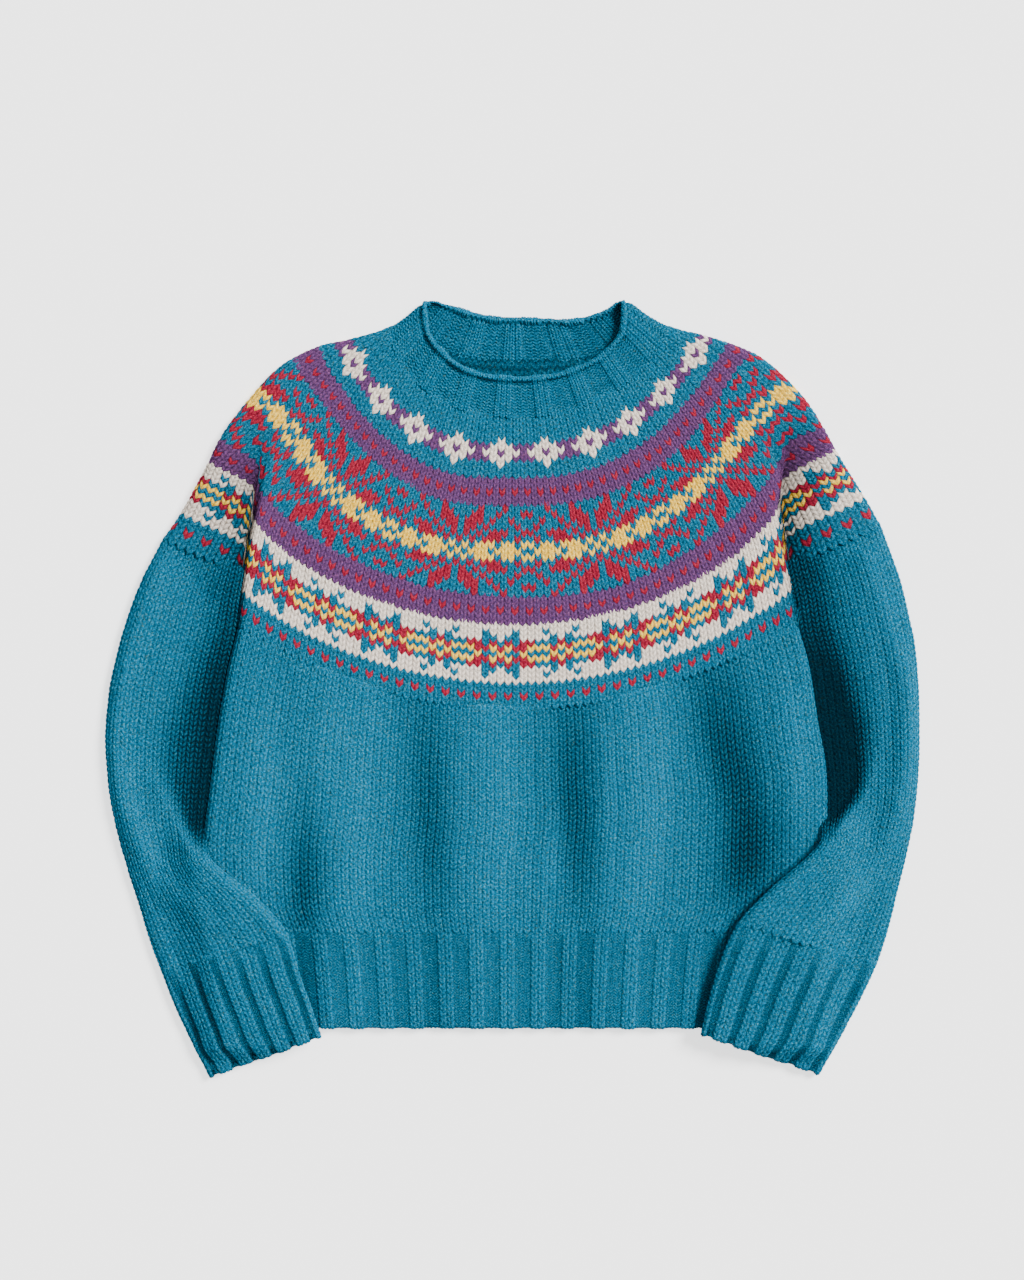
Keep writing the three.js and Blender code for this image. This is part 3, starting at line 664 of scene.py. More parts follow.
class Knitting:
    """Faces of a piece, patch by patch, with their yarns, and each point's painted shade: its depth between
    the stitches and the shade painted on the cloth's form.

    Flat holds each patch's width and length before its relief.
    """

    def __init__(self):
        self.points, self.faces, self.yarns, self.hollows, self.flat = [], [], [], [], []
        self.count = 0

    def add_patch(self, surface_at, first, last, columns, purl=None, yarns=None, fine=True, sink=1.3,
                  depth=1.25, lean=0.8, rib_depth=1.7, rib_shade=0.1, fade_in=0, purl_ridges=2, seed=1,
                  unevenness=1.0):
        """Knits courses first to last over stitches columns[0] to columns[1] of a surface.

        Purl and yarns take courses and stitches, and say which stitches are purl and what their yarns are.
        Sink is how far the first course goes under the cloth above it.
        """
        cuts = np.array(FINE_CUTS if fine else COARSE_CUTS)
        parts = FINE_PARTS if fine else COARSE_PARTS
        stitches = np.arange(columns[0], columns[1])
        courses = np.arange(first, last)
        places = np.concatenate([(stitches[:, None] + cuts).ravel(), [columns[1]]])
        rows = np.arange(len(courses) * parts + 1) / parts + first
        steps = np.arange(first - LATTICE_BEFORE, last + 1.01, LATTICE_STEP)
        base, weight = surface_at(steps, places)
        normal = normals_of(base)

        course_of = np.minimum(np.arange(len(rows)) // parts, len(courses) - 1)
        share = rows - first - course_of
        is_purl = np.zeros((len(courses), len(stitches)), bool)
        if purl is not None:
            is_purl = purl(courses[:, None], stitches[None, :])
        plain = np.array(FINE_PLAIN if fine else COARSE_PLAIN)
        bumps = np.array(FINE_PURL if fine else COARSE_PURL)
        n = len(cuts)

        def spread(plain_values, purl_values):
            """Values of the cuts of each stitch. An edge between two stitches takes both their values."""
            values = np.where(is_purl[:, :, None], purl_values, plain_values).astype(float)
            flat = values.reshape(len(courses), -1)
            edges = values[:, :, 0]
            mean = edges.copy()
            mean[:, 1:] = (edges[:, 1:] + edges[:, :-1]) / 2
            flat[:, ::n] = mean
            return np.concatenate([flat, edges[:, -1:]], axis=1)[course_of]

        wave = PURL_WAVE * np.cos(2 * np.pi * cuts) + PURL_WAVE
        leaning = spread(lean * np.abs(2 * cuts - 1), wave)
        across = spread(plain, bumps)
        sunk = spread(np.zeros(n), np.full(n, rib_depth))
        if fade_in:
            sunk = sunk * np.clip((rows - first - 1) / fade_in, 0, 1)[:, None]
        wide = np.pad(sunk, ((0, 0), (2, 2)), mode="edge")
        sunk = (wide[:, :-4] + 2 * wide[:, 1:-3] + 3 * wide[:, 2:-2] + 2 * wide[:, 3:-1] + wide[:, 4:]) / 9
        purl_here = spread(np.zeros(n), np.ones(n))
        # A course swells along its middle and sinks towards the next one.
        ridge_plain = 0.45 + 0.55 * np.sin(np.pi * share)[:, None] ** 0.7
        ridge_purl = ridge_plain
        if fine:
            ridge_purl = 0.25 + 0.75 * np.abs(np.sin(purl_ridges * np.pi * share))[:, None] ** 0.8
        ridge = ridge_plain * (1 - purl_here) + ridge_purl * purl_here

        # No two stitches are quite alike, and some wales pull tighter than others.
        rng = np.random.default_rng(seed)
        at_course, at_stitch = rows - first, places - columns[0]

        def smooth_noise(size):
            """Seeded differences from stitch to stitch, smooth between their middles."""
            grid = rng.normal(0, size, (len(courses) + 2, len(stitches) + 2))
            row, column = at_course.astype(int), at_stitch.astype(int)
            down, right = (at_course - row)[:, None], (at_stitch - column)[None, :]
            upper = grid[np.ix_(row, column)] * (1 - right) + grid[np.ix_(row, column + 1)] * right
            lower = grid[np.ix_(row + 1, column)] * (1 - right) + grid[np.ix_(row + 1, column + 1)] * right
            return upper * (1 - down) + lower * down

        shift = smooth_noise(SHIFT_SPREAD * unevenness)
        height_noise = smooth_noise(HEIGHT_SPREAD * unevenness)
        wales = np.arange(columns[0], columns[1] + 1)
        wale_noise = np.interp(places, wales, rng.normal(0, WALE_SPREAD, len(wales)))

        where = rows[:, None] - leaning + shift
        extra = at_rows(weight, steps, where)
        shown, dim = extra[..., 0], extra[..., 1]
        level = ridge * across
        offset = shown * (depth * (level - 1) - sunk + height_noise + wale_noise[None, :] * unevenness)
        offset = offset - sink * np.clip((first + 1 - 0.1 - where) / 1.2, 0, 1)
        points = at_rows(base, steps, where) + at_rows(normal, steps, where) * offset[..., None]
        points[..., 2] = np.maximum(points[..., 2], 0.0)
        # Painted shade: darker between the stitches and along sunk purl wales, plus the shade painted on the
        # cloth's form; below zero it is a painted highlight.
        hollow = np.clip(shown * (1 - level + rib_shade * sunk) + dim, *PAINTED_SHADE_RANGE)

        n_rows, n_places = points.shape[:2]
        index = self.count + np.arange(n_rows * n_places).reshape(n_rows, n_places)
        quads = np.stack([index[:-1, :-1], index[1:, :-1], index[1:, 1:], index[:-1, 1:]], axis=-1)
        yarn = np.zeros((len(courses), len(stitches)), int) if yarns is None else yarns(courses, stitches)
        self.points.append(points.reshape(-1, 3))
        self.faces.append(quads.reshape(-1, 4))
        self.yarns.append(np.repeat(np.repeat(yarn, parts, axis=0), n, axis=1).reshape(-1))
        self.hollows.append(hollow.reshape(-1))
        self.count += n_rows * n_places
        wide = np.linalg.norm(np.diff(base, axis=1), axis=-1).sum(axis=1).mean()
        long = np.linalg.norm(np.diff(base, axis=0), axis=-1).sum(axis=0).mean()
        self.flat.append((wide, long * (last - first) / (steps[-1] - steps[0])))

    def finish(self, name, materials):
        """Makes the piece's object from its patches."""
        points = np.concatenate(self.points) * TO_METRES
        faces = np.concatenate(self.faces)
        mesh = bpy.data.meshes.new(name)
        mesh.vertices.add(len(points))
        mesh.vertices.foreach_set("co", points.astype(np.float32).ravel())
        mesh.loops.add(faces.size)
        mesh.loops.foreach_set("vertex_index", faces.astype(np.int32).ravel())
        mesh.polygons.add(len(faces))
        mesh.polygons.foreach_set("loop_start", np.arange(0, faces.size, 4, dtype=np.int32))
        mesh.polygons.foreach_set("material_index", np.concatenate(self.yarns).astype(np.int32))
        mesh.polygons.foreach_set("use_smooth", np.ones(len(faces), bool))
        # Each point's painted shade goes to the material, which darkens the colour by it.
        hollow = mesh.attributes.new("hollow", "FLOAT", "POINT")
        hollow.data.foreach_set("value", np.concatenate(self.hollows).astype(np.float32))
        mesh.update(calc_edges=True)
        mesh.validate()
        for material in materials:
            mesh.materials.append(material)
        piece = bpy.data.objects.new(name, mesh)
        bpy.context.scene.collection.objects.link(piece)
        return piece


def linear_colour(hex_colour):
    """sRGB hex value as linear red, green, blue and full alpha."""
    parts = [int(hex_colour[i:i + 2], 16) / 255 for i in (1, 3, 5)]
    return tuple(c / 12.92 if c <= 0.04045 else ((c + 0.055) / 1.055) ** 2.4 for c in parts) + (1.0,)


def add_node(tree, kind, settings, inputs):
    """Adds a node. Settings are its own properties, and inputs are values or other nodes' outputs."""
    node = tree.nodes.new(kind)
    for name, value in settings.items():
        if name == "stops":
            ramp = node.color_ramp.elements
            while len(ramp) < len(value):
                ramp.new(0.5)
            for element, (place, colour) in zip(ramp, value):
                element.position = place
                element.color = colour
        else:
            setattr(node, name, value)
    for name, value in inputs.items():
        socket = node.inputs[name]
        if isinstance(value, bpy.types.NodeSocket):
            tree.links.new(value, socket)
        else:
            socket.default_value = value
    return node


# Real lengths in millimetres: patches of colour in the spun yarn, pale and dull flecks, and fibre ends.
# The fibre ends are drawn coarser than real hairs, which are too fine to show.
YARN_PATCH = 1.25
PALE_FLECK = 1.1111
DULL_FLECK = 1.6129
FIBRE_END = 0.5263


def wool(name, dark, base, light, fleck, fleck_share, other_fleck, fuzz):
    """Heather wool, spun from fibres of several colours and knitted by hand or machine.

    It gives the eye a matt, slightly hairy thread that is mottled from stitch to stitch, with pale and
    dull flecks. Its colour is painted darker where the threads meet and in creases and folds, as shade,
    and lighter where a highlight is painted.
    """
    material = bpy.data.materials.new(name)
    material.use_nodes = True
    tree = material.node_tree
    tree.nodes.clear()
    place = add_node(tree, "ShaderNodeTexCoord", {}, {}).outputs["Object"]
    patches, ends, flecks, dull = (
        add_node(tree, "ShaderNodeTexNoise", {}, {
            "Vector": place, "Scale": 1 / (length * TO_METRES), "Detail": detail, **more}).outputs["Fac"]
        for length, detail, more in (
            (YARN_PATCH, 2.0, {"Roughness": 0.6}), (FIBRE_END, 1.5, {"Roughness": 0.6}),
            (PALE_FLECK, 1.0, {"Distortion": 0.6}), (DULL_FLECK, 1.5, {"Distortion": 0.4}))
    )
    body = add_node(tree, "ShaderNodeValToRGB", {"stops": [(0.32, dark), (0.5, base), (0.68, light)]},
                    {"Fac": patches}).outputs["Color"]
    mottled = body
    for noise, low, high, colour in ((flecks, 0.58, 0.66, fleck), (dull, 0.6, 0.7, other_fleck)):
        mask = add_node(tree, "ShaderNodeMapRange", {}, {
            "Value": noise, "From Min": low, "From Max": high, "To Min": 0.0, "To Max": fleck_share})
        mottled = add_node(tree, "ShaderNodeMix", {"data_type": "RGBA"}, {
            0: mask.outputs["Result"], 6: mottled, 7: colour}).outputs[2]
    # Painted shade: little light reaches between the stitches, so the colour is darkened there and in the
    # creases and folds, and lightened where a highlight is painted.
    hollow = add_node(tree, "ShaderNodeAttribute", {"attribute_name": "hollow"}, {}).outputs["Fac"]
    shade = add_node(tree, "ShaderNodeMapRange", {}, {
        "Value": hollow, "From Min": -0.2, "From Max": 1.25, "To Min": 1.36, "To Max": 0.1}).outputs["Result"]
    grain = add_node(tree, "ShaderNodeMapRange", {}, {
        "Value": ends, "From Min": 0.3, "From Max": 0.7, "To Min": 0.62, "To Max": 1.38}).outputs["Result"]
    both = add_node(tree, "ShaderNodeMath", {"operation": "MULTIPLY"}, {0: shade, 1: grain}).outputs[0]
    shaded = add_node(tree, "ShaderNodeVectorMath", {"operation": "SCALE"}, {
        0: mottled, "Scale": both}).outputs[0]
    bump = add_node(tree, "ShaderNodeBump", {}, {
        "Height": ends, "Strength": 0.5, "Distance": 0.0004}).outputs["Normal"]
    shader = add_node(tree, "ShaderNodeBsdfPrincipled", {}, {
        "Base Color": shaded, "Roughness": 0.9, "Normal": bump, "IOR": 1.5, "Specular IOR Level": 0.03,
        "Sheen Weight": 0.03, "Sheen Roughness": 0.5, "Sheen Tint": fuzz})
    add_node(tree, "ShaderNodeOutputMaterial", {}, {"Surface": shader.outputs["BSDF"]})
    return material


class JumperSizes(bpy.types.PropertyGroup):
    """Sizes of the knitting that a user would change."""

    relief: FloatProperty(
        name="Stitch Relief", description="Depth between two stitches, in millimetres",
        default=1.25, min=0.2, max=2.0)
    rib_relief: FloatProperty(
        name="Rib Relief", description="How far the purl wales of a rib stand back, in millimetres",
        default=1.2, min=0.2, max=3.0)
    lean: FloatProperty(
        name="Stitch Lean", description="How far a plain stitch's legs reach up, in courses",
        default=0.8, min=0.3, max=2.0)
    unevenness: FloatProperty(
        name="Unevenness", description="How much the stitches differ from each other",
        default=1.0, min=0.0, max=3.0, subtype="FACTOR")
    seed: IntProperty(name="Seed", description="Start of the stitches' small differences", default=7, min=0)


class JumperColours(bpy.types.PropertyGroup):
    """Colours of the yarns as sRGB hex values."""

    turquoise: StringProperty(name="Turquoise", description="Main yarn", default="#04607F")
    purple: StringProperty(name="Purple", description="Yarn of the plain bands", default="#5C3A66")
    red: StringProperty(name="Red", description="Yarn of the stars and dots", default="#961A32")
    yellow: StringProperty(name="Yellow", description="Yarn of the stars' middles", default="#FFC626")
    white: StringProperty(name="Off-White", description="Yarn of flowers and peerie band", default="#F2E4D6")


class JumperStage(bpy.types.PropertyGroup):
    """Floor, light and camera."""

    lens: FloatProperty(
        name="Lens", description="Focal length", default=85.0, min=20.0, max=300.0, subtype="DISTANCE_CAMERA")
    picture_height: FloatProperty(
        name="Picture Height", description="Height of what the picture shows",
        default=1.088, min=0.3, max=3.0, unit="LENGTH", subtype="DISTANCE")
    key: FloatProperty(
        name="Light", description="Strength of the soft light from above", default=6.7, min=0.0)
    fill: FloatProperty(
        name="Fill", description="Strength of the even light from all sides", default=0.52, min=0.0)
    floor: FloatVectorProperty(
        name="Floor", description="Colour of the floor", default=(0.92, 0.92, 0.92), size=3, subtype="COLOR",
        min=0, max=1)
    glow: FloatProperty(
        name="Floor Glow", description="Light that the floor gives off itself", default=1.6, min=0.0)


# Each wool: its property, dark and light patches, pale fleck, the flecks' share, dull fleck, and the light
# that its hairs catch
WOOLS = {
    "turquoise_heather_wool": ("turquoise", "#023C56", "#067CA6", "#4C9AA8", 0.6, "#42563A", "#1FA0CC"),
    "purple_wool": ("purple", "#43284F", "#744478", "#9A5F82", 0.45, "#3F4078", "#A67CC0"),
    "red_wool": ("red", "#761228", "#AE2C42", "#C45A66", 0.35, "#8A2454", "#E06A78"),
    "yellow_wool": ("yellow", "#DFA92A", "#FFE27A", "#FFEDB0", 0.4, "#E2B04A", "#FFE9A0"),
    "off_white_wool": ("white", "#C9B49E", "#F7E8D8", "#FFF6EA", 0.4, "#CDBBB4", "#FFF6EA"),
}


def yarn_materials():
    """One material for each yarn, in the order of their letters, made once."""
    colours = bpy.context.scene.jumper_colours
    for name, (main, dark, light, fleck, share, dull, hairs) in WOOLS.items():
        if name not in bpy.data.materials:
            dark, base, light, fleck, dull, hairs = (
                linear_colour(value) for value in (dark, getattr(colours, main), light, fleck, dull, hairs))
            wool(name, dark, base, light, fleck, share, dull, hairs)
    return [bpy.data.materials[name] for name in WOOLS]


def dress(knitting, name, node):
    """Makes a piece from the knitting with the yarns' materials, lets it ride with the part, and hides the
    solid that it stands for.
    """
    piece = knitting.finish(name, yarn_materials())
    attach(piece, "root")
    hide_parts(node)


def usual_stitch(sizes):
    """What the panel says about every stitch."""
    return {"depth": sizes.relief, "lean": sizes.lean, "unevenness": sizes.unevenness}


def layer_spans(wales):
    """First and last stitch of a tube's front, and of its back's two halves."""
    fold = wales // 2 + 1
    return {"front": [(-fold, fold)], "back": [(-wales, -fold), (fold, wales)]}


def two_by_two(first_plain):
    """Which stitches are purl in a rib of two plain and two purl wales."""
    def purl(courses, stitches):
        return ((stitches - first_plain) % 4 >= 2) & (courses >= 0)
    return purl


class YokeBand:
    """Courses of the yoke that are knitted with one number of stitches round.

    Top and bottom are reaches at the front's middle. A stitch is as wide as pitch at pitch_reach, and its
    width grows with the reach to the given power. The pattern's axis lies at a run from the front's middle.
    """

    def __init__(self, top, bottom, rows, count, pitch, pitch_reach, power, axis_run):
        self.top, self.bottom, self.rows, self.count = top, bottom, rows, count
        self.pitch, self.pitch_reach, self.power = pitch, pitch_reach, power
        self.axis = int(round(axis_run / pitch - 0.5))
        self.phase = axis_run / pitch - 0.5 - self.axis

    def middle(self, row):
        """Reach of a course at the front's middle."""
        return self.top + (self.bottom - self.top) * row / self.rows

    def runs(self, row, loop, places):
        """Runs of stitch edges along a course."""
        pitch = self.pitch * (self.middle(row) / self.pitch_reach) ** self.power
        return yoke_runs(places, loop, self.count / 2, pitch, self.phase)

    def surface(self, steps, places):
        """Lattice of the band's cloth."""
        return surface(lambda row: yoke_loop(self.middle(row)), self.runs, steps, places)

    def front_columns(self):
        """First and last stitch of the front, one round each fold."""
        grid = np.arange(-self.count // 2, self.count // 2 + 1)
        folds = []
        for row in (0, self.rows / 2, self.rows):
            loop = yoke_loop(self.middle(row))
            marks = [loop.marks["fold_left"], loop.marks["fold_right"]]
            folds.append(np.interp(marks, self.runs(row, loop, grid), grid))
        left, right = np.transpose(folds)
        return math.floor(min(left)) - 1, math.ceil(max(right)) + 1


def chart_yarns(rows, axis, axis_column):
    """Yarn of each stitch from a chart's rows, with one of its columns at the axis."""
    def yarns(courses, stitches):
        grid = []
        for course in courses:
            row = rows[min(max(course, 0), len(rows) - 1)]
            grid.append([YARNS.index(row[(s - axis + axis_column) % len(row)]) for s in stitches])
        return np.array(grid)
    return yarns


def mirrored_rows(rows):
    """A chart and its mirror image below it, with the last row once."""
    return list(rows) + list(rows)[-2::-1]


BANDS = {
    "flowers": YokeBand(169.2, 221.0, 11, 108, 6.45, 200, 0.9, 26.8),
    "purple": YokeBand(221.0, 244.8, 5, 148, 5.45, 232, 0.9, 0.0),
    "stars": YokeBand(244.8, 322.2, 15, 168, 5.75, 285, 0.78, -49.3),
    "purple_low": YokeBand(322.2, 346.0, 5, 170, 6.25, 334, 0.6, 0.0),
    "peerie": YokeBand(346.0, 418.0, 16, 176, 6.6, 390, 0.3, -12.3),
}
CHARTS = {
    "flowers": ["T"] * 4 + list(FLOWER) + ["T", "T"],
    "purple": ["P", "P", "RP", "P", "P"],
    "stars": mirrored_rows([row + row[:0:-1] for row in STAR]),
    "purple_low": ["P", "P", "RP", "P", "P"],
    "peerie": mirrored_rows(PEERIE) + ["T", "T", "RT", "T", "T"],
}
AXIS_COLUMN = {"flowers": 2, "purple": 0, "stars": 0, "purple_low": 0, "peerie": 3}
YOKE_PIECES = {
    "yoke_flowers": ("flowers", "purple"),
    "yoke_stars": ("stars",),
    "yoke_peerie": ("purple_low", "peerie"),
}


class KnitYoke(bpy.types.Operator):
    """Knit the yoke with its flowers, stars and peerie band, front and back"""

    bl_idname = "jumper.knit_yoke"
    bl_label = "Knit Yoke"

    def execute(self, context):
        sizes = context.scene.jumper_sizes
        for name, keys in YOKE_PIECES.items():
            for layer in ("front", "back"):
                knitting = Knitting()
                for key in keys:
                    band = BANDS[key]
                    low, high = band.front_columns()
                    half = band.count // 2
                    for span in [(low, high)] if layer == "front" else [(-half, low), (high, half)]:
                        knitting.add_patch(
                            band.surface, -1, band.rows, span, fine=layer == "front",
                            yarns=chart_yarns(CHARTS[key], band.axis, AXIS_COLUMN[key]),
                            seed=sizes.seed + len(key) + span[0] + half, **usual_stitch(sizes))
                dress(knitting, f"{name}_{layer}", "yoke")
        return {"FINISHED"}


BODY_ROWS = 46
BODY_WALES = 76
HEM_ROWS = 17
# Courses that go on round a free edge and inside
TURNED_ROWS = 2


class KnitBody(bpy.types.Operator):
    """Knit the front and the back of the body in plain stitch"""

    bl_idname = "jumper.knit_body"
    bl_label = "Knit Body"

    def execute(self, context):
        sizes = context.scene.jumper_sizes
        edges = body_edges()

        body_surface = tube(lambda row: body_loop(row / BODY_ROWS, edges), BODY_WALES)
        for layer, spans in layer_spans(BODY_WALES).items():
            knitting = Knitting()
            for span in spans:
                knitting.add_patch(body_surface, -1, BODY_ROWS, span, fine=layer == "front",
                                   seed=sizes.seed + span[0] + 200, **usual_stitch(sizes))
            dress(knitting, layer + "_knit", layer)
        return {"FINISHED"}


def rimmed(outer_at, row_length, rows):
    """Surface that turns round the free edge after its last course and goes on along the wall's inside."""
    roll = WALL / 2
    end = rows - roll / row_length

    def at(steps, places):
        inside = np.clip(steps - end, 0, None)
        base_steps = np.minimum(steps, end)
        fine = np.unique(np.concatenate([base_steps, [end - 0.5, end - 0.25, end]]))
        points, weight = outer_at(fine, places)
        normal = normals_of(points)
        pick = np.searchsorted(fine, base_steps)
        points, weight, normal = points[pick], weight[pick], normal[pick]
        near, far = outer_at(np.array([end, end - 0.5]), places)[0]
        towards = near - far
        towards = towards / np.linalg.norm(towards, axis=-1, keepdims=True)
        result = points.copy()
        for i, past in enumerate(inside * row_length):
            if past > 0:
                turn = min(past / roll, math.pi)
                centre = points[i] - normal[i] * roll
                result[i] = centre + normal[i] * roll * math.cos(turn) + towards * roll * math.sin(turn)
                result[i] = result[i] - towards * max(0.0, past - math.pi * roll)
        return result, weight
    return at


class KnitHem(bpy.types.Operator):
    """Knit the ribbed hem of the front and the back"""

    bl_idname = "jumper.knit_hem"
    bl_label = "Knit Hem"

    def execute(self, context):
        sizes = context.scene.jumper_sizes
        edges = body_edges()
        row_length = (HEM_TOP - HEM_END) / HEM_ROWS
        outer = tube(lambda row: body_loop(HEM_TOP - row * row_length, edges, hem=True), BODY_WALES)
        hem_surface = rimmed(outer, row_length, HEM_ROWS)
        for layer, spans in layer_spans(BODY_WALES).items():
            knitting = Knitting()
            for span in spans:
                knitting.add_patch(
                    hem_surface, -1, HEM_ROWS + TURNED_ROWS, span, purl=two_by_two(BODY_WALES // 2),
                    fine=layer == "front", rib_depth=sizes.rib_relief, rib_shade=0.07, fade_in=2, sink=0.2,
                    seed=sizes.seed + span[0] + 300, **usual_stitch(sizes))
            dress(knitting, f"hem_rib_{layer}_knit", "hem_rib_" + layer)
        return {"FINISHED"}


SLEEVE_WALES = 15
SLEEVE_COURSE = 4.6
CUFF_WALES = 24
CUFF_ROWS = 20
# A cuff's purl wales are drawn together to this share of their width.
CUFF_DRAWN = 0.58


class KnitSleeves(bpy.types.Operator):
    """Knit both sleeves in plain stitch"""

    bl_idname = "jumper.knit_sleeves"
    bl_label = "Knit Sleeves"

    def execute(self, context):
        sizes = context.scene.jumper_sizes
        usual = usual_stitch(sizes)
        reach = SLEEVE_WALES // 2 + 1
        for side in ("left", "right"):
            start = sleeve_start(side)
            length = sleeve_lengths(side)[CUFF_FROM]
            rows = round(length / SLEEVE_COURSE)
            sleeve_surface = tube(lambda row: sleeve_loop(side, row / rows * length, start), SLEEVE_WALES)
            knitting = Knitting()
            knitting.add_patch(sleeve_surface, -1, rows, (-reach - 1, reach + 1), sink=0.5,
                               seed=sizes.seed + 400 + len(side), **usual)
            for span in ((-SLEEVE_WALES, -reach - 1), (reach + 1, SLEEVE_WALES)):
                knitting.add_patch(sleeve_surface, -1, rows, span, fine=False,
                                   seed=sizes.seed + 500 + span[1], **usual)
            dress(knitting, f"sleeve_{side}_knit", "sleeve_" + side)
        return {"FINISHED"}


class KnitCuffs(bpy.types.Operator):
    """Knit both ribbed cuffs"""

    bl_idname = "jumper.knit_cuffs"
    bl_label = "Knit Cuffs"

    def execute(self, context):
        sizes = context.scene.jumper_sizes
        reach = CUFF_WALES // 2 + 1
        for side in ("left", "right"):
            start = sleeve_start(side)
            lengths = sleeve_lengths(side)
            top = lengths[CUFF_FROM]
            row_length = (lengths[-1] - top) / CUFF_ROWS
            outer = tube(lambda row: sleeve_loop(side, top + row * row_length, start, is_cuff=True),
                         CUFF_WALES, CUFF_DRAWN)
            cuff_surface = rimmed(outer, row_length, CUFF_ROWS)
            knitting = Knitting()
            for span in ((-reach, reach), (-CUFF_WALES, -reach), (reach, CUFF_WALES)):
                knitting.add_patch(
                    cuff_surface, -1, CUFF_ROWS + TURNED_ROWS, span, purl=two_by_two(-1),
                    fine=span == (-reach, reach), rib_depth=1.6 * sizes.rib_relief, rib_shade=0.16, fade_in=5,
                    sink=0.2, seed=sizes.seed + 600 + span[0], **usual_stitch(sizes))
            dress(knitting, f"cuff_{side}_knit", "cuff_" + side)
        return {"FINISHED"}


# The neckband's courses outside, round the rolled rim and inside, and its stitches: their number, their
# width at a reach, and the run of the front's middle rib
NECK_ROWS = 12
ROLL_ROWS = 4
INNER_ROWS = 12
NECK_STITCHES = (98, 4.66, 150, 1.0, -9.7)
# Half length and half height of the rolled rim, how much longer and further out it is round the back, how
# it shrinks in the two corners, and the turn that it starts at
ROLL_REACH = 3.6
ROLL_RISE = 3.9
ROLL_BACK = (1.4, 1.7)
ROLL_CORNER = 0.35
ROLL_START = -1.35
# Where the rim's two corners are drawn from the even round: place, move, and how far it spreads
NECK_CORNERS = (
    (-76.8, 326, 2.4, 4.6, 13), (101.6, 326, -5.5, 6.6, 14),
    (-75.1, 332, 1.2, -2.6, 4.5), (95.1, 334.2, -1.2, -3.2, 4.8),
)
# Courses of the back yoke's inside that show behind the front rim, and the reaches they lie between
INSIDE_ROWS = 5
INSIDE_REACHES = (BAND_REACH - 3, 196)


def neck_surface_of(band):
    """Surface of the neckband: outer side, rolled rim and inner side, in courses from high to low."""
    row_length = (BAND_REACH - band.top) / NECK_ROWS
    rim_row = (RIM_REACH + ROLL_REACH - band.top) / row_length
    low, high = band.front_columns()
    fold = (high - low) / 2 - 1

    def outer(steps, places):
        return surface(lambda row: yoke_loop(band.middle(row), NECK_PAIR), band.runs, steps, places)

    def at(steps, places):
        turn = np.clip(-steps / ROLL_ROWS, 0, 1) * (math.pi - ROLL_START) + ROLL_START
        inner = steps < -ROLL_ROWS
        base_steps = np.where(steps >= 0, steps, rim_row)
        base_steps = np.where(inner, rim_row + (-ROLL_ROWS - steps), base_steps)
        fine = np.unique(np.concatenate([base_steps, [rim_row - 0.5, rim_row + 0.5]]))
        points, weight = outer(fine, places)
        normal = normals_of(points)
        before, after = np.searchsorted(fine, [rim_row - 0.5, rim_row + 0.5])
        ahead = points[before] - points[after]
        ahead = ahead / np.linalg.norm(ahead, axis=-1, keepdims=True)
        pick = np.searchsorted(fine, base_steps)
        points, weight, normal = points[pick].copy(), weight[pick].copy(), normal[pick]
        past_fold = np.abs(places) - fold
        back = smoothstep(past_fold, 0, 6)[:, None]
        corner = 1 - ROLL_CORNER * np.exp(-((past_fold / 1.3) ** 2))[:, None]
        for i, step in enumerate(steps):
            if inner[i]:
                points[i] = points[i] - normal[i] * WALL
                # The inside is painted darker near both folds, as shade, and most at the right one, where the
                # rim shades it.
                weight[i, :, 1] = 0.05 + 0.35 * np.exp(-np.abs(past_fold) / 4)
                weight[i, :, 1] += 0.3 * np.exp(-np.abs(places - fold) / 9)
            elif step < 0:
                centre = points[i] - normal[i] * WALL / 2 + ahead * ROLL_BACK[1] * back
                reach = (ROLL_REACH + ROLL_BACK[0] * back) * math.sin(turn[i]) * corner
                rise = ROLL_RISE * math.cos(turn[i]) * (0.3 + 0.7 * corner)
                points[i] = centre + ahead * reach + normal[i] * rise
                # The rolled rim shows less relief and is painted a little lighter, as a painted highlight.
                weight[i] = (0.75, -0.05)
            else:
                # The first courses below the roll are painted darker, as the shade at its foot.
                weight[i, :, 1] += 0.5 * max(0.0, 1 - step / 0.6)
        for x, y, move_x, move_y, far in NECK_CORNERS:
            near = np.exp(-((points[..., 0] - x) ** 2 + (points[..., 1] - y) ** 2) / far**2)
            points[..., 0] += move_x * near
            points[..., 1] += move_y * near
        return points, weight
    return at


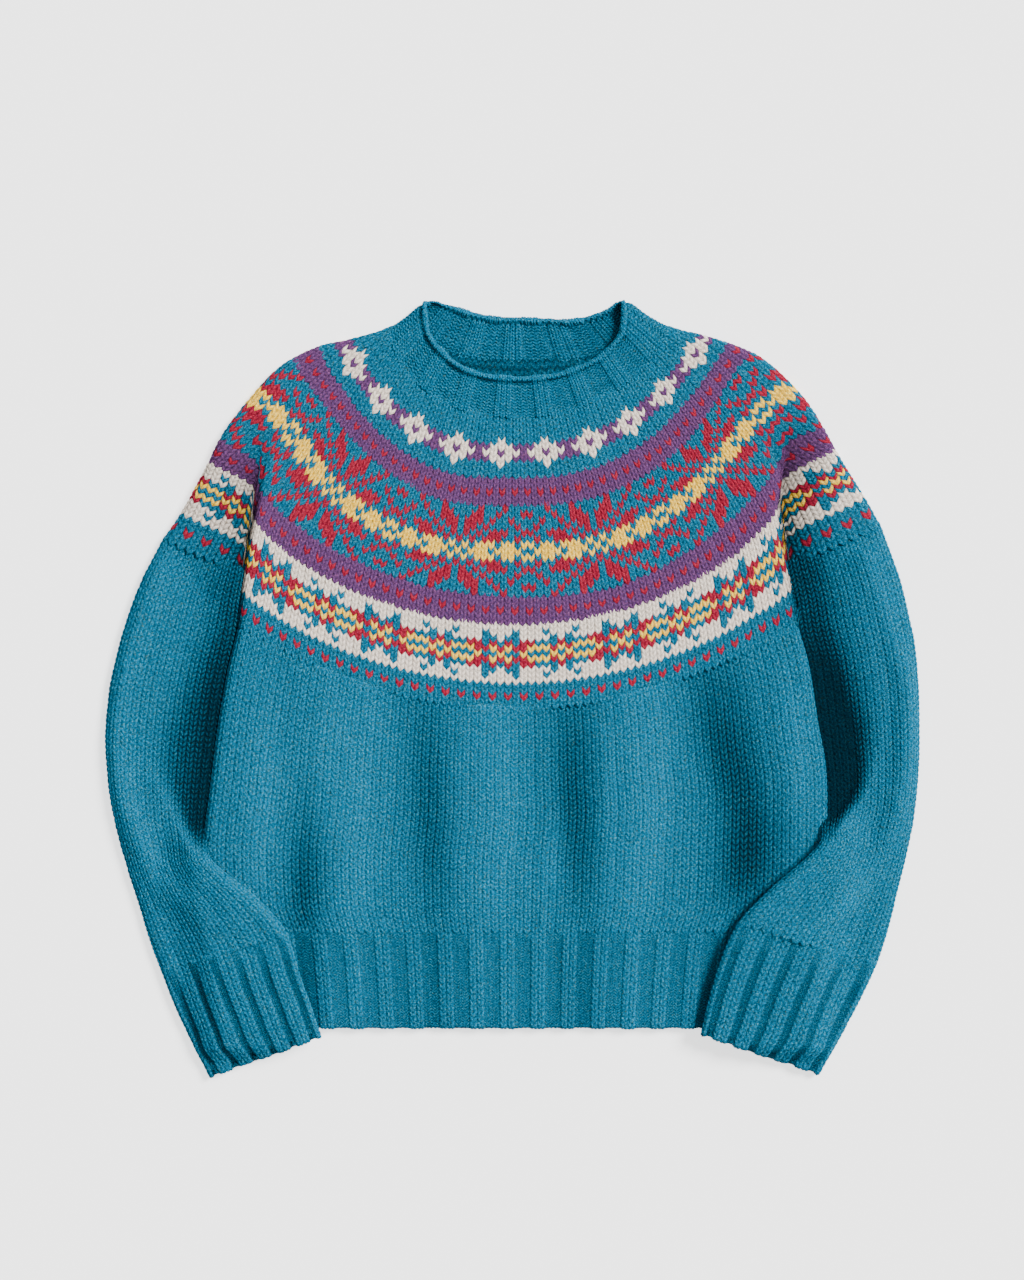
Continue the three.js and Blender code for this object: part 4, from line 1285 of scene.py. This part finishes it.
class KnitNeckband(bpy.types.Operator):
    """Knit the doubled, ribbed neckband with its rolled rim, and the yoke's inside behind it"""

    bl_idname = "jumper.knit_neckband"
    bl_label = "Knit Neckband"

    def execute(self, context):
        sizes = context.scene.jumper_sizes
        band = YokeBand(RIM_REACH + 2 * ROLL_REACH - 0.3, BAND_REACH, NECK_ROWS, *NECK_STITCHES)
        low, high = band.front_columns()
        half = band.count // 2

        def purl(courses, stitches):
            """Ribs of three plain and four purl wales, outside and inside, with a plain course at the rim."""
            outside = (stitches - band.axis + 1) % 7 >= 3
            inside = (stitches - half + 1) % 7 >= 3
            rib = np.where(courses < -ROLL_ROWS, inside, outside)
            return rib & (courses < NECK_ROWS) & (courses != -1)

        neck_surface = neck_surface_of(band)
        rib = {"purl": purl, "sink": 0.0, "depth": 1.45, "lean": 0.7, "rib_depth": 1.1, "rib_shade": 0.09,
               "purl_ridges": 1, "unevenness": sizes.unevenness}
        knitting = Knitting()
        knitting.add_patch(neck_surface, -ROLL_ROWS - 3, NECK_ROWS, (low, high), seed=sizes.seed + 700, **rib)
        for span in ((-half, low), (high, half)):
            knitting.add_patch(neck_surface, -ROLL_ROWS - INNER_ROWS, 0, span,
                               seed=sizes.seed + 710 + span[1], **rib)
            knitting.add_patch(neck_surface, 0, NECK_ROWS, span, fine=False,
                               seed=sizes.seed + 720 + span[1], **rib)
        dress(knitting, "neckband_knit", "neckband")

        # Behind the front rim, a little of the inside of the yoke's back shows below the band.
        inside_band = YokeBand(*INSIDE_REACHES, INSIDE_ROWS, *NECK_STITCHES)

        def inside_surface(steps, places):
            points, weight = inside_band.surface(steps, places)
            lifted = points - normals_of(points) * (WALL - 0.4)
            # The inside is painted in even shade, as it lies behind the rim.
            weight[..., 1] = 0.5
            return lifted, weight

        inside = Knitting()
        for span in ((-half, low + 2), (high - 2, half)):
            inside.add_patch(
                inside_surface, 0, INSIDE_ROWS, span, sink=0.0, fine=False, depth=1.0, rib_depth=0.0,
                purl=lambda courses, stitches: np.ones((courses.size, stitches.size), bool),
                seed=sizes.seed + 800)
        dress(inside, "yoke_inside", "yoke")
        return {"FINISHED"}


SENSOR_WIDTH = 36.0
FLOOR_REACH = 6
# The floor lies a little below the cloth, in metres, so that no stitch is cut by it.
FLOOR_DROP = 0.0004
# Middle of the picture in metres, and the cloth's height there
PICTURE_MIDDLE = (-0.0004, 0.0421, 0.01)
# Soft light from the right and a little from the top: place, turn in degrees, and the angle it spreads over
LIGHT_PLACE = (1.7, 1.0, 1.7)
LIGHT_TURN = (50, 0, 122)
LIGHT_SPREAD = 22


class SetStage(bpy.types.Operator):
    """Set the floor, the soft light and the camera straight above"""

    bl_idname = "jumper.set_stage"
    bl_label = "Set Stage"

    def execute(self, context):
        stage = context.scene.jumper_stage
        scene = context.scene
        corners = [(x * FLOOR_REACH, y * FLOOR_REACH, 0) for x, y in ((-1, -1), (1, -1), (1, 1), (-1, 1))]
        mesh = bpy.data.meshes.new("floor")
        mesh.from_pydata(corners, [], [(0, 1, 2, 3)])
        floor = bpy.data.objects.new("floor", mesh)
        floor.location.z = -FLOOR_DROP
        scene.collection.objects.link(floor)
        # Matt opal glass, lit from below: an even pale ground without gloss, with only faint shadows.
        board = bpy.data.materials.new("opal_glass")
        board.use_nodes = True
        board.node_tree.nodes.clear()
        shader = add_node(board.node_tree, "ShaderNodeBsdfPrincipled", {}, {
            "Base Color": tuple(stage.floor) + (1.0,), "Roughness": 0.95, "Specular IOR Level": 0.1,
            "Emission Color": (1.0, 1.0, 1.0, 1.0), "Emission Strength": stage.glow})
        add_node(board.node_tree, "ShaderNodeOutputMaterial", {}, {"Surface": shader.outputs["BSDF"]})
        mesh.materials.append(board)

        world = bpy.data.worlds.new("even_light")
        world.use_nodes = True
        background = world.node_tree.nodes["Background"]
        background.inputs["Color"].default_value = (1.0, 1.0, 1.0, 1.0)
        background.inputs["Strength"].default_value = stage.fill
        scene.world = world

        light = bpy.data.lights.new("overhead", "SUN")
        light.energy = stage.key
        light.angle = math.radians(LIGHT_SPREAD)
        lamp = bpy.data.objects.new("overhead", light)
        lamp.location = LIGHT_PLACE
        lamp.rotation_euler = [math.radians(turn) for turn in LIGHT_TURN]
        scene.collection.objects.link(lamp)

        camera_data = bpy.data.cameras.new("camera")
        camera_data.lens = stage.lens
        camera_data.sensor_width = SENSOR_WIDTH
        camera_data.clip_end = 50
        camera = bpy.data.objects.new("camera", camera_data)
        x, y, cloth = PICTURE_MIDDLE
        camera.location = (x, y, cloth + stage.picture_height * stage.lens / SENSOR_WIDTH)
        scene.collection.objects.link(camera)
        scene.camera = camera
        return {"FINISHED"}


class JumperPanel(bpy.types.Panel):
    """Lists the jumper's pieces and settings"""

    bl_idname = "VIEW3D_PT_jumper"
    bl_label = "Jumper"
    bl_space_type = "VIEW_3D"
    bl_region_type = "UI"
    bl_category = "Jumper"

    def draw(self, context):
        for name in GROUPS:
            group = getattr(context.scene, name)
            box = self.layout.box()
            for key in group.__annotations__:
                box.prop(group, key)
        for operator in OPERATORS:
            self.layout.operator(operator.bl_idname)


GROUPS = {"jumper_sizes": JumperSizes, "jumper_colours": JumperColours, "jumper_stage": JumperStage}
OPERATORS = (KnitYoke, KnitNeckband, KnitBody, KnitHem, KnitSleeves, KnitCuffs, SetStage)


def register():
    for kind in (*GROUPS.values(), *OPERATORS, JumperPanel):
        bpy.utils.register_class(kind)
    for name, kind in GROUPS.items():
        setattr(bpy.types.Scene, name, PointerProperty(type=kind))


def unregister():
    for name in GROUPS:
        delattr(bpy.types.Scene, name)
    for kind in (JumperPanel, *reversed(OPERATORS), *GROUPS.values()):
        bpy.utils.unregister_class(kind)


def main():
    register()
    for operator in OPERATORS:
        getattr(bpy.ops.jumper, operator.bl_idname.split(".")[1])()
    bpy.context.view_layer.update()


if __name__ == "__main__":
    main()
